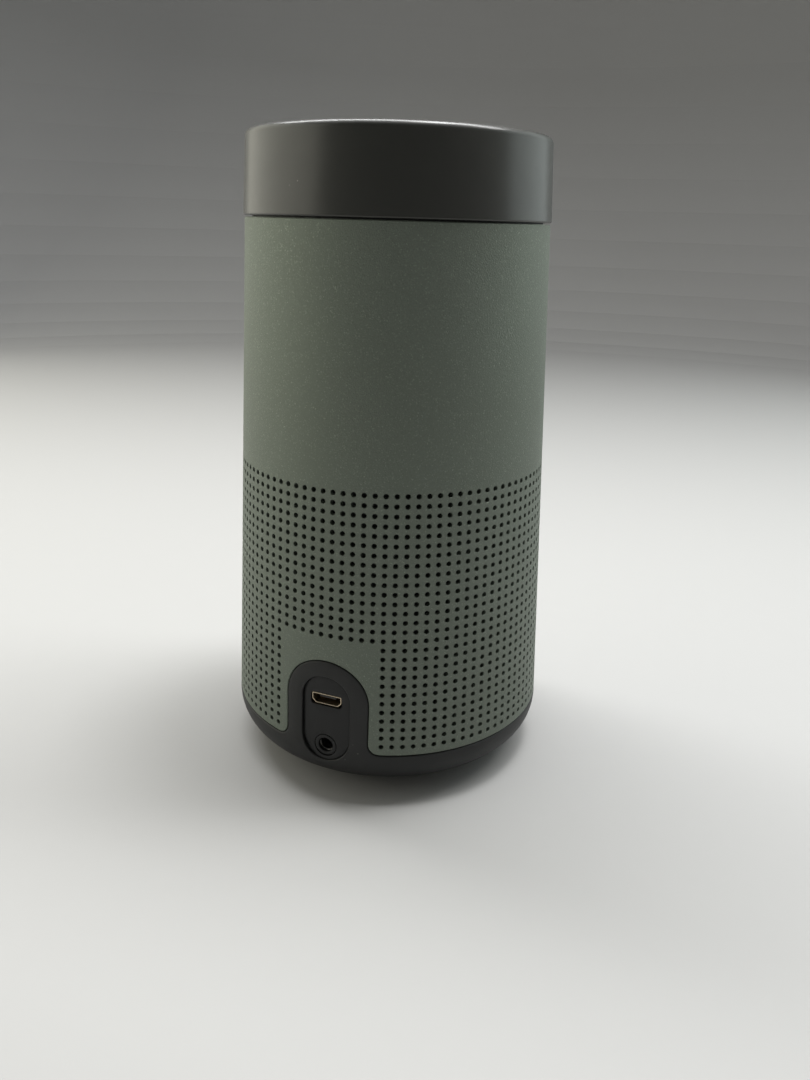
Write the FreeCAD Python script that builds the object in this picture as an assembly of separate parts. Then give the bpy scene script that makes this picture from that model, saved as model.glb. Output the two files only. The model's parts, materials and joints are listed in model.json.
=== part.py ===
"""Portable bluetooth speaker: a slightly conical perforated aluminium sleeve, a rubber base, a dished cap.

Sizes are millimetres. The origin is the centre of the foot's underside, +Z is up, the controls read from
the front (-Y), and the charging and audio sockets face the rear (+Y).
From the bottom up: rubber foot pad, foot plate, rubber base with its tray, acoustic deflector, down-firing
driver in a sealed enclosure with a passive radiator on each side, battery pocket, main board, carrier,
control board, cap and buttons.
"""
import FreeCAD, Part
import math
import os

# ---------------------------------------------------------------- overall sizes
total_height = 152.0
base_diameter = 82.0

# ---------------------------------------------------------------- sleeve
sleeve_bottom_z = 14.2
sleeve_taper = 5.6            # radius lost between the sleeve's bottom and top
sleeve_wall = 1.2
sleeve_inset = 0.05           # the sleeve stands this far inside the base's largest radius
cap_height = 18.0             # sleeve top to the top of the rim
hole_columns = 100
hole_rows = 28
hole_pitch = 2.28             # height between two rows
hole_diameter = 1.15
hole_edge_margin = 2.4        # sleeve's bottom edge to the lowest row
blank_columns = 10            # columns over the sockets that have only upper rows
blank_rows = 12
scrim_thickness = 0.3
scrim_gap = 0.1
scrim_top_z = 82.0

# ---------------------------------------------------------------- arch that the base raises into the sleeve
arch_half_width = 10.65
arch_centre_z = 26.65
arch_foot_radius = 2.8
arch_gap = 0.15
arch_thickness = 2.0

# ---------------------------------------------------------------- rubber base and tray
foot_radius = 30.0
foot_pad_thickness = 1.6
foot_plate_thickness = 4.68
base_round = 9.0              # radius of the base's lower outer edge
base_round_centre_z = 12.98
base_wall = 2.2
base_gap = 0.1                # between the rubber and the tray inside it
foot_gap = 0.3                # between the foot and the rubber around it
tray_wall = 2.0
tray_top_z = 16.0
tray_upright_thickness = 2.0
tray_upright_half_width = 10.0
tray_upright_rise = 0.3       # the upright ends this far under the arch's top

# ---------------------------------------------------------------- tripod insert and charging contacts
insert_radius = 5.5
insert_flange_radius = 7.6
insert_flange_thickness = 1.3
insert_recess = 0.8           # insert's mouth above the ground
thread_radius = 2.55          # tapped hole for a quarter-inch, 20 per inch thread
contact_radius = 1.2
contact_spacing = 4.0
contact_count = 4
contact_y = -16.0
contact_recess = 0.5
charging_board_z = 10.0
charging_board_size = (19.6, 9.0, 1.2)
charging_post_radius = 1.4

# ---------------------------------------------------------------- sockets
panel_half_width = 6.25
panel_low_z = 10.7
panel_high_z = 33.1
panel_gap = 0.1
panel_recess = 0.7
panel_thickness = 2.2
usb_z = 26.7
usb_width = 7.5
usb_height = 2.6
usb_wall = 0.35
usb_front_inset = 0.37        # below the panel's outer surface
usb_gap = 0.3
jack_z = 14.6
jack_bore_radius = 1.8
jack_barrel_radius = 3.2
jack_bush_radius = 2.8
jack_depth = 14.4
jack_end_wall = 1.0
jack_front_inset = 0.08
jack_gap = 0.1
port_board_thickness = 1.6
port_board_half_width = 6.5
usb_depth = 5.4               # socket's length, from its mouth to the port board
port_board_low_z = 9.0
port_board_high_z = 31.5
flex_thickness = 0.3
flex_half_width = 5.0

# ---------------------------------------------------------------- deflector and posts
deflector_plate = 1.8
deflector_cone_radius = 27.0
deflector_tip_radius = 3.0
deflector_tip_z = 33.0
deflector_port_half_width = 10.4
deflector_port_y = 24.0
post_height = 18.2            # deflector plate to the enclosure
post_radius = 3.0
post_inset = 3.5              # post centres inside the enclosure's radius

# ---------------------------------------------------------------- enclosure
enclosure_inset = 1.85        # enclosure radius inside the sleeve's top radius
flat_depth = 8.5              # how deep the two radiator flats cut into the enclosure's round
flex_flat_depth = 0.9
enclosure_wall = 2.2
enclosure_drop = 16.4         # enclosure's rim below the sleeve's top
gasket_thickness = 0.4
lid_thickness = 2.5
boss_radius = 3.0
lid_screw_inset = 4.5         # lid screw centres inside the enclosure's radius
lid_boss_depth = 12.0

# ---------------------------------------------------------------- driver
driver_flange_radius = 24.8
driver_flange_thickness = 1.5
driver_opening_radius = 20.8
driver_screw_radius = 22.8
driver_boss_radius = 1.9
basket_neck_radius = 20.5
basket_top_radius = 16.5
basket_height = 11.4          # flange top to the top ring's upper face
basket_wall = 1.2
basket_ring_thickness = 1.4
basket_bore_radius = 8.5
cone_radius = 17.2
coil_outer_radius = 7.0
coil_wall = 0.5
pole_radius = 6.0
top_plate_bore = 7.4
top_plate_radius = 14.5
top_plate_thickness = 2.4
magnet_radius = 15.5
magnet_bore = 9.0
magnet_thickness = 5.0
yoke_thickness = 2.2
driver_travel = 2.0
lead_radius = 0.6
lead_gap = 0.3
tag_board_thickness = 1.2
coil_end_gap = 0.9            # left above the coil at its highest

# ---------------------------------------------------------------- passive radiators
radiator_drop = 32.6          # radiator centre below the enclosure's rim
radiator_frame_radius = 21.2
radiator_frame_bore = 17.6
radiator_frame_thickness = 2.0
radiator_plate_radius = 12.6
radiator_plate_thickness = 1.6
radiator_plate_offset = 0.2
radiator_opening_radius = 17.0
surround_thickness = 0.5

# ---------------------------------------------------------------- battery, boards and carrier
cell_radius = 9.2
cell_length = 65.2
cell_gap = 0.3
pocket_wall = 1.6
cell_rise = 4.7               # cells stand this far above the lid
board_rise = 7.5              # main board above the lid
board_thickness = 1.6
board_gap = 0.75              # main board's edge to the carrier's wall
board_post_radius = 2.6
board_post_x = 12.0
board_post_y = 26.0
carrier_wall = 1.9
carrier_rise = 8.0            # carrier's top above the sleeve's top
carrier_plate = 2.0
carrier_opening_radius = 24.0
carrier_tab_thickness = 2.0
carrier_flange_height = 3.0
carrier_gap = 0.1
control_board_radius = 28.5
capacitor_radius = 3.15
capacitor_height = 7.7
control_screw_radius = 26.3

# ---------------------------------------------------------------- cap and buttons
cap_proud = 0.25              # cap stands proud of the sleeve
cap_wall = 1.85
cap_seam = 0.3
cap_slope = 0.06              # radius lost per millimetre of height
cap_foot_round = 0.4
cap_rim_round = 1.4
dish_depth = 3.0
dish_radius = 27.0
cap_panel_thickness = 2.2
button_gap = 0.3
button_proud = 0.6
button_flange = 1.0
button_flange_thickness = 0.65
button_flange_gap = 0.2
button_edge_round = 0.4
button_travel = 0.5
nub_radius = 1.1
nub_gap = 0.2
nub_reach = 0.4               # how far the nub reaches into the switch at rest
switch_size = 4.6
switch_height = 1.5
nub_floor_gap = 0.2           # left under the nub when the key is down
light_pipe_radius = 0.6
light_pipe_gap = 0.05
# name, x, y, radius
buttons = (
    ("power_button", -15.0, 11.0, 4.2),
    ("pairing_button", 0.0, 11.0, 4.2),
    ("source_button", 15.0, 11.0, 4.2),
    ("volume_down_button", -15.5, -8.0, 5.4),
    ("multifunction_button", 0.0, -8.0, 5.4),
    ("volume_up_button", 15.5, -8.0, 5.4),
)
light_pipes = ((-15.0, 18.0), (0.0, 18.0), (0.0, 1.6))

# ---------------------------------------------------------------- screws
screw_shank = 1.25
screw_head = 2.4
screw_head_height = 1.7
screw_hole_gap = 0.05
screw_clear_gap = 0.15
small_screw_shank = 0.9
small_screw_head = 1.9
small_screw_head_height = 1.4
base_screw_radius = 20.0
base_screw_bite = 5.0

# ---------------------------------------------------------------- worked out from the sizes above
base_r = base_diameter / 2
sleeve_bottom_r = base_r - sleeve_inset
sleeve_top_r = sleeve_bottom_r - sleeve_taper
sleeve_top_z = total_height - cap_height
column_step = 2 * math.pi / hole_columns
foot_top_z = foot_pad_thickness + foot_plate_thickness
base_round_centre_r = base_r - base_round
tray_round = base_round - base_wall - base_gap
deflector_top_z = tray_top_z + deflector_plate
enclosure_bottom_z = deflector_top_z + post_height
enclosure_r = sleeve_top_r - enclosure_inset
flat_x = enclosure_r - flat_depth
flex_flat_y = enclosure_r - flex_flat_depth
enclosure_top_z = sleeve_top_z - enclosure_drop
lid_bottom_z = enclosure_top_z + gasket_thickness
lid_top_z = lid_bottom_z + lid_thickness
flange_top_z = enclosure_bottom_z - gasket_thickness
flange_low_z = flange_top_z - driver_flange_thickness
basket_top_z = flange_top_z + basket_height
top_plate_top_z = basket_top_z + top_plate_thickness
magnet_top_z = top_plate_top_z + magnet_thickness
coil_low_z = flange_top_z + 6.8
radiator_z = enclosure_top_z - radiator_drop
cell_top_z = lid_top_z + cell_rise
cell_low_z = cell_top_z - cell_length
cell_y = cell_radius + 0.1
board_z = lid_top_z + board_rise
board_top_z = board_z + board_thickness
carrier_top_z = sleeve_top_z + carrier_rise
cap_bottom_z = sleeve_top_z + cap_seam
cap_bottom_r = sleeve_top_r + cap_proud
cap_bore_r = cap_bottom_r - cap_wall
carrier_r = cap_bore_r - carrier_gap
panel_top_z = total_height - dish_depth
panel_under_z = panel_top_z - cap_panel_thickness
control_top_z = carrier_top_z + board_thickness
switch_top_z = control_top_z + switch_height
post_circle = enclosure_r - post_inset
lid_screw_circle = enclosure_r - lid_screw_inset
main_board_r = carrier_r - carrier_wall - board_gap
flex_y = enclosure_r - 0.5


# ---------------------------------------------------------------- shape helpers
def vec(x, y, z):
    return FreeCAD.Vector(x, y, z)


def cylinder(radius, low, high, x=0.0, y=0.0):
    return Part.makeCylinder(radius, high - low, vec(x, y, low))


def cylinders(spots, radius, low, high):
    return [cylinder(radius, low, high, x, y) for x, y in spots]


def tube(outer, inner, low, high, x=0.0, y=0.0):
    return cylinder(outer, low, high, x, y).cut(cylinder(inner, low - 1, high + 1, x, y))


def along_y(radius, low, high, z, x=0.0):
    """Cylinder whose axis runs along +Y."""
    return Part.makeCylinder(radius, high - low, vec(x, low, z), vec(0, 1, 0))


def along_x(radius, low, high, z):
    """Cylinder whose axis runs along +X."""
    return Part.makeCylinder(radius, high - low, vec(low, 0, z), vec(1, 0, 0))


def block(x_range, y_range, z_range):
    size = [high - low for low, high in (x_range, y_range, z_range)]
    return Part.makeBox(*size, vec(x_range[0], y_range[0], z_range[0]))


def on_circle(centre, radius, degrees):
    angle = math.radians(degrees)
    return (centre[0] + radius * math.cos(angle), centre[1] + radius * math.sin(angle))


def closed_face(steps, place):
    """Face inside an outline: a step is a corner, or a (through, end) pair for an arc."""
    ends = [step[1] if isinstance(step[0], tuple) else step for step in steps]
    edges = []
    for i, step in enumerate(steps):
        start = place(*ends[i - 1])
        end = place(*ends[i])
        if isinstance(step[0], tuple):
            edges.append(Part.Arc(start, place(*step[0]), end).toShape())
        elif (start - end).Length > 1e-6:
            edges.append(Part.LineSegment(start, end).toShape())
    return Part.Face(Part.Wire(edges))


def turned(*steps):
    """Solid of revolution about Z from steps of (radius, height)."""
    face = closed_face(steps, lambda r, z: vec(r, 0, z))
    return face.revolve(vec(0, 0, 0), vec(0, 0, 1), 360)


def punched(steps, y_low, y_high):
    """Prism along Y from steps of (x, z)."""
    face = closed_face(steps, lambda x, z: vec(x, y_low, z))
    return face.extrude(vec(0, y_high - y_low, 0))


def stadium(half_width, low_z, high_z, y_low, y_high):
    """Upright prism along Y with round ends."""
    low_c = low_z + half_width
    high_c = high_z - half_width
    steps = (
        (half_width, low_c),
        (half_width, high_c),
        ((0, high_z), (-half_width, high_c)),
        (-half_width, low_c),
        ((0, low_z), (half_width, low_c)),
    )
    return punched(steps, y_low, y_high)


def joined(shapes):
    whole = shapes[0]
    for shape in shapes[1:]:
        whole = whole.fuse(shape)
    return whole.removeSplitter()


def around(radius, angles):
    return [on_circle((0, 0), radius, angle) for angle in angles]


def at_quarters(radius):
    return around(radius, (45, 135, 225, 315))


def screw(x, y, seat_z, tip_z, shank=screw_shank, head=screw_head, height=screw_head_height):
    """Pan-head screw whose head sits on seat_z, on the side away from the tip, with a cross recess."""
    up = 1 if seat_z > tip_z else -1
    body = cylinder(shank, min(seat_z, tip_z), max(seat_z, tip_z), x, y)
    crown_z = seat_z + up * height
    crown = cylinder(head, min(seat_z, crown_z), max(seat_z, crown_z), x, y)
    floor_z = crown_z - up * height * 0.55
    deep = (min(floor_z, crown_z + up), max(floor_z, crown_z + up))
    arm = head * 0.62
    slot = head * 0.14
    cross = block((x - arm, x + arm), (y - slot, y + slot), deep)
    cross = cross.fuse(block((x - slot, x + slot), (y - arm, y + arm), deep))
    return body.fuse(crown).removeSplitter().cut(cross)


def group(shapes):
    return Part.makeCompound(shapes)


# ---------------------------------------------------------------- sleeve
def sleeve_r(z):
    rise = (z - sleeve_bottom_z) / (sleeve_top_z - sleeve_bottom_z)
    return sleeve_bottom_r - sleeve_taper * rise


def cone_shell(low, high, outer_inset, inner_inset):
    """Wall that follows the sleeve's outer surface between two insets."""
    return turned(
        (sleeve_r(low) - inner_inset, low),
        (sleeve_r(low) - outer_inset, low),
        (sleeve_r(high) - outer_inset, high),
        (sleeve_r(high) - inner_inset, high),
    )


def arch_prism(gap):
    """Arch with flared feet, made smaller by gap on every side."""
    foot_x = arch_half_width + arch_foot_radius
    foot_z = sleeve_bottom_z + arch_foot_radius
    side_x = arch_half_width - gap
    low_z = sleeve_bottom_z - 5.0
    foot_r = arch_foot_radius + gap
    steps = (
        (foot_x, low_z),
        (foot_x, foot_z - foot_r),
        (on_circle((foot_x, foot_z), foot_r, 225), (side_x, foot_z)),
        (side_x, arch_centre_z),
        ((0, arch_centre_z + side_x), (-side_x, arch_centre_z)),
        (-side_x, foot_z),
        (on_circle((-foot_x, foot_z), foot_r, 315), (-foot_x, foot_z - foot_r)),
        (-foot_x, low_z),
    )
    return punched(steps, base_r * 0.5, base_r * 1.2)


def sleeve_strip(rows):
    """Faces of one flat strip of the sleeve, centred on +X, with a hole at each height in rows."""
    half = column_step / 2

    def corner(z, side, inset):
        radius = sleeve_r(z) - inset
        return vec(radius * math.cos(half), side * radius * math.sin(half), z)

    def quad(*corners):
        return Part.makePolygon(list(corners) + [corners[0]])

    low, high = sleeve_bottom_z, sleeve_top_z
    outer = quad(corner(low, -1, 0), corner(low, 1, 0), corner(high, 1, 0), corner(high, -1, 0))
    wall = sleeve_wall
    inner = quad(corner(low, -1, wall), corner(low, 1, wall), corner(high, 1, wall), corner(high, -1, wall))
    foot = vec(corner(low, 0, 0).x, 0, low)
    head = vec(corner(high, 0, 0).x, 0, high)
    along = head - foot
    along.normalize()
    normal = vec(along.z, 0, -along.x)
    depth = (foot - vec(corner(low, 0, wall).x, 0, low)).dot(normal)
    radius = hole_diameter / 2
    outer_rings = []
    inner_rings = []
    faces = []
    for z in rows:
        mouth = foot + along * ((z - low) / along.z)
        back = mouth - normal * depth
        outer_rings.append(Part.Wire(Part.Circle(mouth, normal, radius).toShape()))
        inner_rings.append(Part.Wire(Part.Circle(back, normal, radius).toShape()))
        bore = Part.makeCylinder(radius, depth, back, normal)
        faces.append(next(face for face in bore.Faces if isinstance(face.Surface, Part.Cylinder)))
    for edge, rings in ((outer, outer_rings), (inner, inner_rings)):
        sheet = Part.Face(edge)
        if rings:
            sheet = sheet.cut([Part.Face(ring) for ring in rings]).Faces[0]
        faces.append(sheet)
    for z in (low, high):
        end = quad(corner(z, -1, 0), corner(z, 1, 0), corner(z, 1, wall), corner(z, -1, wall))
        faces.append(Part.Face(end))
    return faces


def perforated_sleeve():
    lowest = sleeve_bottom_z + hole_edge_margin
    rows = [lowest + hole_pitch * i for i in range(hole_rows)]
    full = sleeve_strip(rows)
    over_sockets = sleeve_strip(rows[blank_rows:])
    faces = []
    for column in range(hole_columns):
        from_rear = abs((column + 0.5) - hole_columns / 2)
        strip = over_sockets if from_rear < blank_columns / 2 else full
        turn = -90 + math.degrees((column + 0.5) * column_step)
        for face in strip:
            copy = face.copy()
            copy.rotate(vec(0, 0, 0), vec(0, 0, 1), turn)
            faces.append(copy)
    solid = Part.makeSolid(Part.makeShell(faces))
    return solid.cut(arch_prism(0))


def acoustic_scrim():
    low = sleeve_bottom_z + 0.2
    inset = sleeve_wall + scrim_gap
    return cone_shell(low, scrim_top_z, inset, inset + scrim_thickness).cut(arch_prism(-2 * arch_gap))


# ---------------------------------------------------------------- rubber base, tray and foot
def rubber_base():
    centre = (base_round_centre_r, base_round_centre_z)
    inner_round = base_round - base_wall
    ring = turned(
        (foot_radius + foot_gap, base_round_centre_z - base_round),
        on_circle(centre, base_round, 270),
        (on_circle(centre, base_round, 315), on_circle(centre, base_round, 0)),
        (base_r, sleeve_bottom_z),
        (base_r - base_wall, sleeve_bottom_z),
        on_circle(centre, inner_round, 0),
        (on_circle(centre, inner_round, 315), on_circle(centre, inner_round, 270)),
        (foot_radius + foot_gap, base_round_centre_z - inner_round),
    )
    top = arch_centre_z + arch_half_width + 1
    tongue = cone_shell(sleeve_bottom_z - 0.6, top, 0, arch_thickness).common(arch_prism(arch_gap))
    window = stadium(panel_half_width, panel_low_z, panel_high_z, base_r * 0.6, base_r * 1.2)
    return joined([ring, tongue]).cut(window)


def base_frame():
    centre = (base_round_centre_r, base_round_centre_z)
    inner_round = tray_round - tray_wall
    hole = insert_radius + 0.1
    tray = turned(
        (hole, foot_top_z),
        on_circle(centre, tray_round, 270),
        (on_circle(centre, tray_round, 315), on_circle(centre, tray_round, 0)),
        (centre[0] + tray_round, tray_top_z),
        (centre[0] + inner_round, tray_top_z),
        on_circle(centre, inner_round, 0),
        (on_circle(centre, inner_round, 315), on_circle(centre, inner_round, 270)),
        (hole, foot_top_z + tray_wall),
    )
    floor_z = foot_top_z + tray_wall
    upright_top = arch_centre_z + arch_half_width - tray_upright_rise
    upright_r = sleeve_r(upright_top) - arch_thickness - base_gap
    upright = tube(upright_r, upright_r - tray_upright_thickness, base_round_centre_z, upright_top)
    half = tray_upright_half_width
    upright = upright.common(block((-half, half), (0, base_r), (0, total_height)))
    bosses = cylinders(at_quarters(base_screw_radius), boss_radius, floor_z - 0.2, tray_top_z)
    posts = cylinders(charging_posts(), charging_post_radius, floor_z - 0.2, charging_board_z)
    frame = joined([tray, upright] + bosses + posts)
    front = port_board_front_y()
    window = block((-7.2, 7.2), (front - 6, base_r), (floor_z, panel_high_z + 0.9))
    frame = frame.cut(window)
    rail = (port_board_half_width + 0.1, port_board_half_width + 1.6)
    for side in (1, -1):
        x_range = sorted((side * rail[0], side * rail[1]))
        frame = frame.fuse(block(x_range, (front - 3.5, front + 0.8), (floor_z - 0.2, port_board_high_z - 1)))
    for spot in at_quarters(base_screw_radius):
        frame = frame.cut(cylinder(screw_shank + screw_clear_gap, 0, tray_top_z + 1, *spot))
    for spot in contact_spots():
        frame = frame.cut(cylinder(contact_radius + 0.1, 0, charging_board_z, *spot))
    return frame.removeSplitter()


def foot_plate():
    plate = cylinder(foot_radius, foot_pad_thickness, foot_top_z)
    plate = plate.cut(cylinder(insert_radius + 0.1, 0, foot_top_z + 1))
    for spot in at_quarters(base_screw_radius):
        plate = plate.cut(cylinder(screw_shank + screw_clear_gap, 0, foot_top_z + 1, *spot))
        plate = plate.cut(cylinder(screw_head + 0.3, 0, base_screw_seat_z(), *spot))
    for spot in contact_spots():
        plate = plate.cut(cylinder(contact_radius + 0.1, 0, foot_top_z + 1, *spot))
    return plate


def base_foot():
    edge = 0.5
    pad = turned(
        (insert_flange_radius, 0),
        (foot_radius - edge, 0),
        (foot_radius, edge),
        (foot_radius, foot_pad_thickness),
        (insert_flange_radius, foot_pad_thickness),
    )
    reach = contact_spacing * (contact_count - 1) / 2
    half = contact_radius + 1.0
    slot = block((-reach, reach), (contact_y - half, contact_y + half), (-1, foot_pad_thickness + 1))
    for side in (-1, 1):
        slot = slot.fuse(cylinder(half, -1, foot_pad_thickness + 1, side * reach, contact_y))
    return pad.cut(slot)


def tripod_insert():
    top = foot_top_z + tray_wall
    body = cylinder(insert_radius, insert_recess, top)
    flange = cylinder(insert_flange_radius, top, top + insert_flange_thickness)
    bore = cylinder(thread_radius, 0, thread_end_z())
    return joined([body, flange]).cut(bore)


def thread_end_z():
    return foot_top_z + tray_wall + insert_flange_thickness / 2


def contact_spots():
    first = -contact_spacing * (contact_count - 1) / 2
    return [(first + contact_spacing * i, contact_y) for i in range(contact_count)]


def charging_posts():
    x = charging_board_size[0] / 2 - charging_post_radius - 0.3
    y = contact_y - charging_board_size[1] / 2 + charging_post_radius + 0.3
    return [(-x, y), (x, y)]


def charging_contacts():
    return group(cylinders(contact_spots(), contact_radius, contact_recess, charging_board_z))


def charging_board():
    width, depth, thickness = charging_board_size
    y_range = (contact_y - depth / 2, contact_y + depth / 2)
    return block((-width / 2, width / 2), y_range, (charging_board_z, charging_board_z + thickness))


def base_screw_seat_z():
    return foot_pad_thickness + screw_head_height + 0.1


def base_screws():
    seat = base_screw_seat_z()
    tip = tray_top_z + base_screw_bite
    return group([screw(x, y, seat, tip) for x, y in at_quarters(base_screw_radius)])


# ---------------------------------------------------------------- sockets at the rear
def panel_front_y(z):
    return sleeve_r(z) - panel_recess


def port_board_front_y():
    return usb_front_y() - usb_depth


def usb_front_y():
    return panel_front_y(usb_z) - usb_front_inset


def jack_front_y():
    return panel_front_y(jack_z) - jack_front_inset


def jack_barrel_front_y():
    """The barrel stops behind the curved panel."""
    back = sleeve_r(jack_z + jack_barrel_radius) - panel_recess - panel_thickness
    return math.sqrt(back ** 2 - jack_barrel_radius ** 2) - jack_gap


def port_panel():
    wall = cone_shell(panel_low_z - 1, panel_high_z + 1, panel_recess, panel_recess + panel_thickness)
    low = panel_low_z + panel_gap
    high = panel_high_z - panel_gap
    outline = stadium(panel_half_width - panel_gap, low, high, base_r * 0.6, base_r * 1.2)
    half_w = usb_width / 2 + usb_gap
    half_h = usb_height / 2 + usb_gap
    slot = block((-half_w, half_w), (base_r * 0.6, base_r * 1.2), (usb_z - half_h, usb_z + half_h))
    slot_edges = [edge for edge in slot.Edges if abs(edge.tangentAt(edge.FirstParameter).y) > 0.99]
    slot = slot.makeFillet(half_h * 0.6, slot_edges)
    hole = along_y(jack_bush_radius + jack_gap, base_r * 0.6, base_r * 1.2, jack_z)
    return wall.common(outline).cut(slot).cut(hole)


def usb_outline(inset, y_low, y_high):
    """Prism of the socket's section: wide at the top, chamfered at the bottom corners."""
    half = usb_width / 2 - inset
    top = usb_z + usb_height / 2 - inset
    bottom = usb_z - usb_height / 2 + inset
    chamfer = 0.9 - inset * 0.4
    steps = (
        (-half, top),
        (-half, bottom + chamfer),
        (-half + chamfer, bottom),
        (half - chamfer, bottom),
        (half, bottom + chamfer),
        (half, top),
    )
    return punched(steps, y_low, y_high)


def usb_socket():
    back = port_board_front_y()
    front = usb_front_y()
    return usb_outline(0, back, front).cut(usb_outline(usb_wall, back + 0.6, front + 1))


def usb_tongue():
    back = port_board_front_y() + 0.6
    front = usb_front_y() - 0.7
    half = usb_width / 2 - usb_wall - 1.2
    return block((-half, half), (back, front), (usb_z + 0.05, usb_z + 0.6))


def aux_jack():
    front = jack_barrel_front_y()
    bore_end = jack_front_y() - jack_depth
    barrel = along_y(jack_barrel_radius, bore_end - jack_end_wall, front, jack_z)
    return barrel.cut(along_y(jack_bore_radius, bore_end, front + 1, jack_z))


def aux_jack_bush():
    low = jack_barrel_front_y()
    high = jack_front_y()
    bush = along_y(jack_bush_radius, low, high, jack_z)
    return bush.cut(along_y(jack_bore_radius, low - 1, high + 1, jack_z))


def port_board():
    front = port_board_front_y()
    half = port_board_half_width
    board = block((-half, half), (front - port_board_thickness, front), (port_board_low_z, port_board_high_z))
    return board.cut(along_y(jack_barrel_radius + jack_gap, 0, base_r, jack_z))


def port_flex():
    """Flat cable from the port board's top edge, up the enclosure's rear flat and over the main board."""
    half = flex_half_width
    top = board_top_z + flex_thickness
    rise = block((-half, half), (flex_y - flex_thickness, flex_y), (port_board_high_z, top))
    landing = block((-half, half), (main_board_r - 8, flex_y), (board_top_z, top))
    return joined([rise, landing])


# ---------------------------------------------------------------- deflector
def acoustic_deflector():
    plate_r = base_round_centre_r + tray_round - 0.3
    body = turned(
        (0, tray_top_z),
        (plate_r, tray_top_z),
        (plate_r, deflector_top_z),
        (deflector_cone_radius, deflector_top_z),
        (deflector_tip_radius, deflector_tip_z - 0.8),
        (0, deflector_tip_z),
    )
    posts = cylinders(at_quarters(post_circle), post_radius, tray_top_z, enclosure_bottom_z)
    body = joined([body] + posts)
    half = deflector_port_half_width
    body = body.cut(block((-half, half), (deflector_port_y, base_r), (0, deflector_tip_z)))
    for spot in at_quarters(post_circle):
        body = body.cut(cylinder(screw_shank + screw_clear_gap, 0, enclosure_bottom_z + 1, *spot))
    for spot in at_quarters(base_screw_radius):
        pilot = cylinder(screw_shank + screw_hole_gap, 0, tray_top_z + base_screw_bite + 0.3, *spot)
        body = body.cut(pilot)
    return body


def deflector_screws():
    tip = enclosure_bottom_z + 6.0
    return group([screw(x, y, tray_top_z, tip) for x, y in at_quarters(post_circle)])


# ---------------------------------------------------------------- enclosure
def enclosure_outline(inset, low, high):
    """Round prism with a flat on each side and a shallow one at the rear."""
    x = flat_x - inset
    y = flex_flat_y - min(inset, enclosure_wall - flex_flat_depth)
    body = cylinder(enclosure_r - inset, low, high)
    return body.common(block((-x, x), (-enclosure_r, y), (low, high)))


def enclosure_shell():
    shell = enclosure_outline(0, enclosure_bottom_z, enclosure_top_z)
    floor_z = enclosure_bottom_z + enclosure_wall
    shell = shell.cut(enclosure_outline(enclosure_wall, floor_z, enclosure_top_z + 1))
    inside = enclosure_outline(0.5, enclosure_bottom_z, enclosure_top_z)
    feet = cylinders(at_quarters(post_circle), boss_radius, enclosure_bottom_z, floor_z + 5)
    driver_feet = cylinders(at_quarters(driver_screw_radius), driver_boss_radius, floor_z - 1, floor_z + 3)
    low = enclosure_top_z - lid_boss_depth
    heads = cylinders(at_quarters(lid_screw_circle), boss_radius, low, enclosure_top_z)
    shell = joined([shell] + [boss.common(inside) for boss in feet + driver_feet + heads])
    shell = shell.cut(cylinder(driver_opening_radius, 0, floor_z + 4))
    shell = shell.cut(along_x(radiator_opening_radius, -base_r, base_r, radiator_z))
    for spot in at_quarters(post_circle):
        shell = shell.cut(cylinder(screw_shank + screw_hole_gap, 0, enclosure_bottom_z + 6.3, *spot))
    for spot in at_quarters(driver_screw_radius):
        shell = shell.cut(cylinder(small_screw_shank + screw_hole_gap, 0, floor_z + 2.5, *spot))
    for spot in at_quarters(lid_screw_circle):
        shell = shell.cut(cylinder(screw_shank + screw_hole_gap, low + 1, enclosure_top_z + 1, *spot))
    return shell


def enclosure_gasket():
    ring = enclosure_outline(0, enclosure_top_z, lid_bottom_z)
    ring = ring.cut(enclosure_outline(enclosure_wall, enclosure_top_z - 1, lid_bottom_z + 1))
    for spot in at_quarters(lid_screw_circle):
        pad = cylinder(boss_radius, enclosure_top_z, lid_bottom_z, *spot)
        ring = ring.fuse(pad.common(enclosure_outline(0.5, enclosure_top_z, lid_bottom_z)))
    for spot in at_quarters(lid_screw_circle):
        ring = ring.cut(cylinder(screw_shank + screw_clear_gap, 0, total_height, *spot))
    return ring.removeSplitter()


def enclosure_lid():
    """Lid with the pocket that holds the two cells."""
    lid = enclosure_outline(0, lid_bottom_z, lid_top_z)
    x = cell_radius + cell_gap
    y = cell_y + cell_radius + cell_gap
    outer = [(-x - pocket_wall, x + pocket_wall), (-y - pocket_wall, y + pocket_wall)]
    lid = lid.fuse(block(*outer, (cell_low_z - pocket_wall, lid_bottom_z + 1)))
    posts = cylinders(board_posts(), board_post_radius, lid_top_z - 1, board_z)
    lid = joined([lid] + posts)
    lid = lid.cut(block((-x, x), (-y, y), (cell_low_z, lid_top_z + 1)))
    for spot in at_quarters(lid_screw_circle):
        lid = lid.cut(cylinder(screw_shank + screw_clear_gap, lid_bottom_z - 1, lid_top_z + 1, *spot))
    for spot in board_posts():
        lid = lid.cut(cylinder(small_screw_shank + screw_hole_gap, board_z - 5, board_z + 1, *spot))
    for x, y in lead_spots():
        lid = lid.cut(cylinder(lead_radius + lead_gap, lid_bottom_z - 1, lid_top_z + 1, x, y))
    return lid


def lid_screws():
    seat = lid_top_z + carrier_tab_thickness
    tip = enclosure_top_z - 8
    return group([screw(x, y, seat, tip) for x, y in at_quarters(lid_screw_circle)])


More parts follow.
